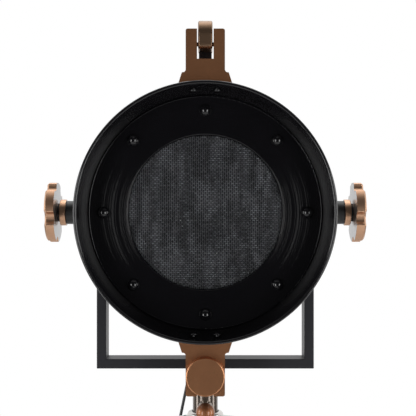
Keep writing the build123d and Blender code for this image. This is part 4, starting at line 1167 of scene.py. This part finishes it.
class LAMP_OT_yoke(bpy.types.Operator):
    """Paints the yoke and its swivel block"""

    bl_idname = "lamp.yoke"
    bl_label = "Yoke"

    def execute(self, context):
        for node in ("yoke_bar", "swivel_cap", "swivel_body"):
            softened(node, SOFT_EDGE, finish_of("black_enamel"))
        softened("swivel_bolts", EDGE, finish_of("blackened_steel"))
        return {"FINISHED"}


class LAMP_OT_pole(bpy.types.Operator):
    """Polishes the pole and finishes its end cap, height knob and height screw"""

    bl_idname = "lamp.pole"
    bl_label = "Pole"

    def execute(self, context):
        # The pole's dark colour is painted reflection
        softened("pole_tube", EDGE, finish_of("smoked_nickel"))
        painted("pole_end_cap", finish_of("black_nylon"))
        softened("height_knob", EDGE, finish_of("dome_copper"))
        painted("height_screw", finish_of("blackened_steel"))
        return {"FINISHED"}


class LAMP_OT_hub(bpy.types.Operator):
    """Finishes the tripod's hub with its bush, hinge bolts and wing nuts"""

    bl_idname = "lamp.hub"
    bl_label = "Hub"

    def execute(self, context):
        softened("hub_casting", EDGE, finish_of("cast_bright"))
        painted("hub_bush", finish_of("black_nylon"))
        softened("leg_bolts", EDGE, finish_of("blackened_steel"))
        for leg in LEGS:
            softened(f"{leg}_wing_nut", EDGE, finish_of("bright_nickel"))
        return {"FINISHED"}


class LAMP_OT_legs(bpy.types.Operator):
    """Paints the legs and their knuckles and finishes their rubber feet"""

    bl_idname = "lamp.legs"
    bl_label = "Legs"

    def execute(self, context):
        for leg in LEGS:
            softened(f"{leg}_leg_knuckle", EDGE, finish_of("leg_casting_paint"))
            softened(f"{leg}_leg_tube", EDGE, finish_of("leg_paint"))
            softened(f"{leg}_leg_foot", EDGE, finish_of("black_rubber"))
        return {"FINISHED"}


class LAMP_OT_bulb(bpy.types.Operator):
    """Finishes the reflector, the bulb and its holder"""

    bl_idname = "lamp.bulb"
    bl_label = "Bulb and reflector"

    def execute(self, context):
        painted("reflector", finish_of("spun_aluminium"))
        painted("bulb_glass", finish_of("frosted_bulb"))
        painted("bulb_cap", finish_of("bulb_cap_brass"))
        painted("lamp_socket", finish_of("white_porcelain"))
        painted("socket_strap", finish_of("zinc_strip"))
        return {"FINISHED"}


class LAMP_OT_switch(bpy.types.Operator):
    """Plates the toggle switch on the rear dome"""

    bl_idname = "lamp.switch"
    bl_label = "Switch"

    def execute(self, context):
        for node in ("switch_body", "switch_lever"):
            softened(node, EDGE, finish_of("bright_nickel"))
        return {"FINISHED"}


class LAMP_PT_panel(bpy.types.Panel):
    """Lists the lamp's settings and steps"""

    bl_idname = "LAMP_PT_panel"
    bl_label = "Floor spotlight"
    bl_space_type = "VIEW_3D"
    bl_region_type = "UI"
    bl_category = "Spotlight"

    def draw(self, context):
        scene = context.scene
        for group in (scene.lamp_colours, scene.lamp_sizes, scene.lamp_studio):
            box = self.layout.box()
            for name in group.__annotations__:
                box.prop(group, name)
        for operator in OPERATORS:
            self.layout.operator(operator.bl_idname)


OPERATORS = (
    LAMP_OT_stage, LAMP_OT_cord, LAMP_OT_boot, LAMP_OT_wire_mesh, LAMP_OT_lens, LAMP_OT_hood,
    LAMP_OT_can, LAMP_OT_door_fittings, LAMP_OT_tilt_knobs, LAMP_OT_yoke, LAMP_OT_pole,
    LAMP_OT_hub, LAMP_OT_legs, LAMP_OT_bulb, LAMP_OT_switch,
)
GROUPS = {"lamp_colours": LampColours, "lamp_sizes": LampSizes, "lamp_studio": StudioSettings}


def register():
    for name, group in GROUPS.items():
        bpy.utils.register_class(group)
        setattr(bpy.types.Scene, name, bpy.props.PointerProperty(type=group))
    for item in (*OPERATORS, LAMP_PT_panel):
        bpy.utils.register_class(item)


def unregister():
    for item in reversed((*OPERATORS, LAMP_PT_panel)):
        bpy.utils.unregister_class(item)
    for name, group in reversed(GROUPS.items()):
        delattr(bpy.types.Scene, name)
        bpy.utils.unregister_class(group)


def main():
    register()
    bpy.ops.lamp.stage()
    bpy.ops.lamp.cord()
    bpy.ops.lamp.boot()
    bpy.ops.lamp.wire_mesh()
    bpy.ops.lamp.lens()
    bpy.ops.lamp.hood()
    bpy.ops.lamp.can()
    bpy.ops.lamp.door_fittings()
    bpy.ops.lamp.tilt_knobs()
    bpy.ops.lamp.yoke()
    bpy.ops.lamp.pole()
    bpy.ops.lamp.hub()
    bpy.ops.lamp.legs()
    bpy.ops.lamp.bulb()
    bpy.ops.lamp.switch()


if __name__ == "__main__":
    main()
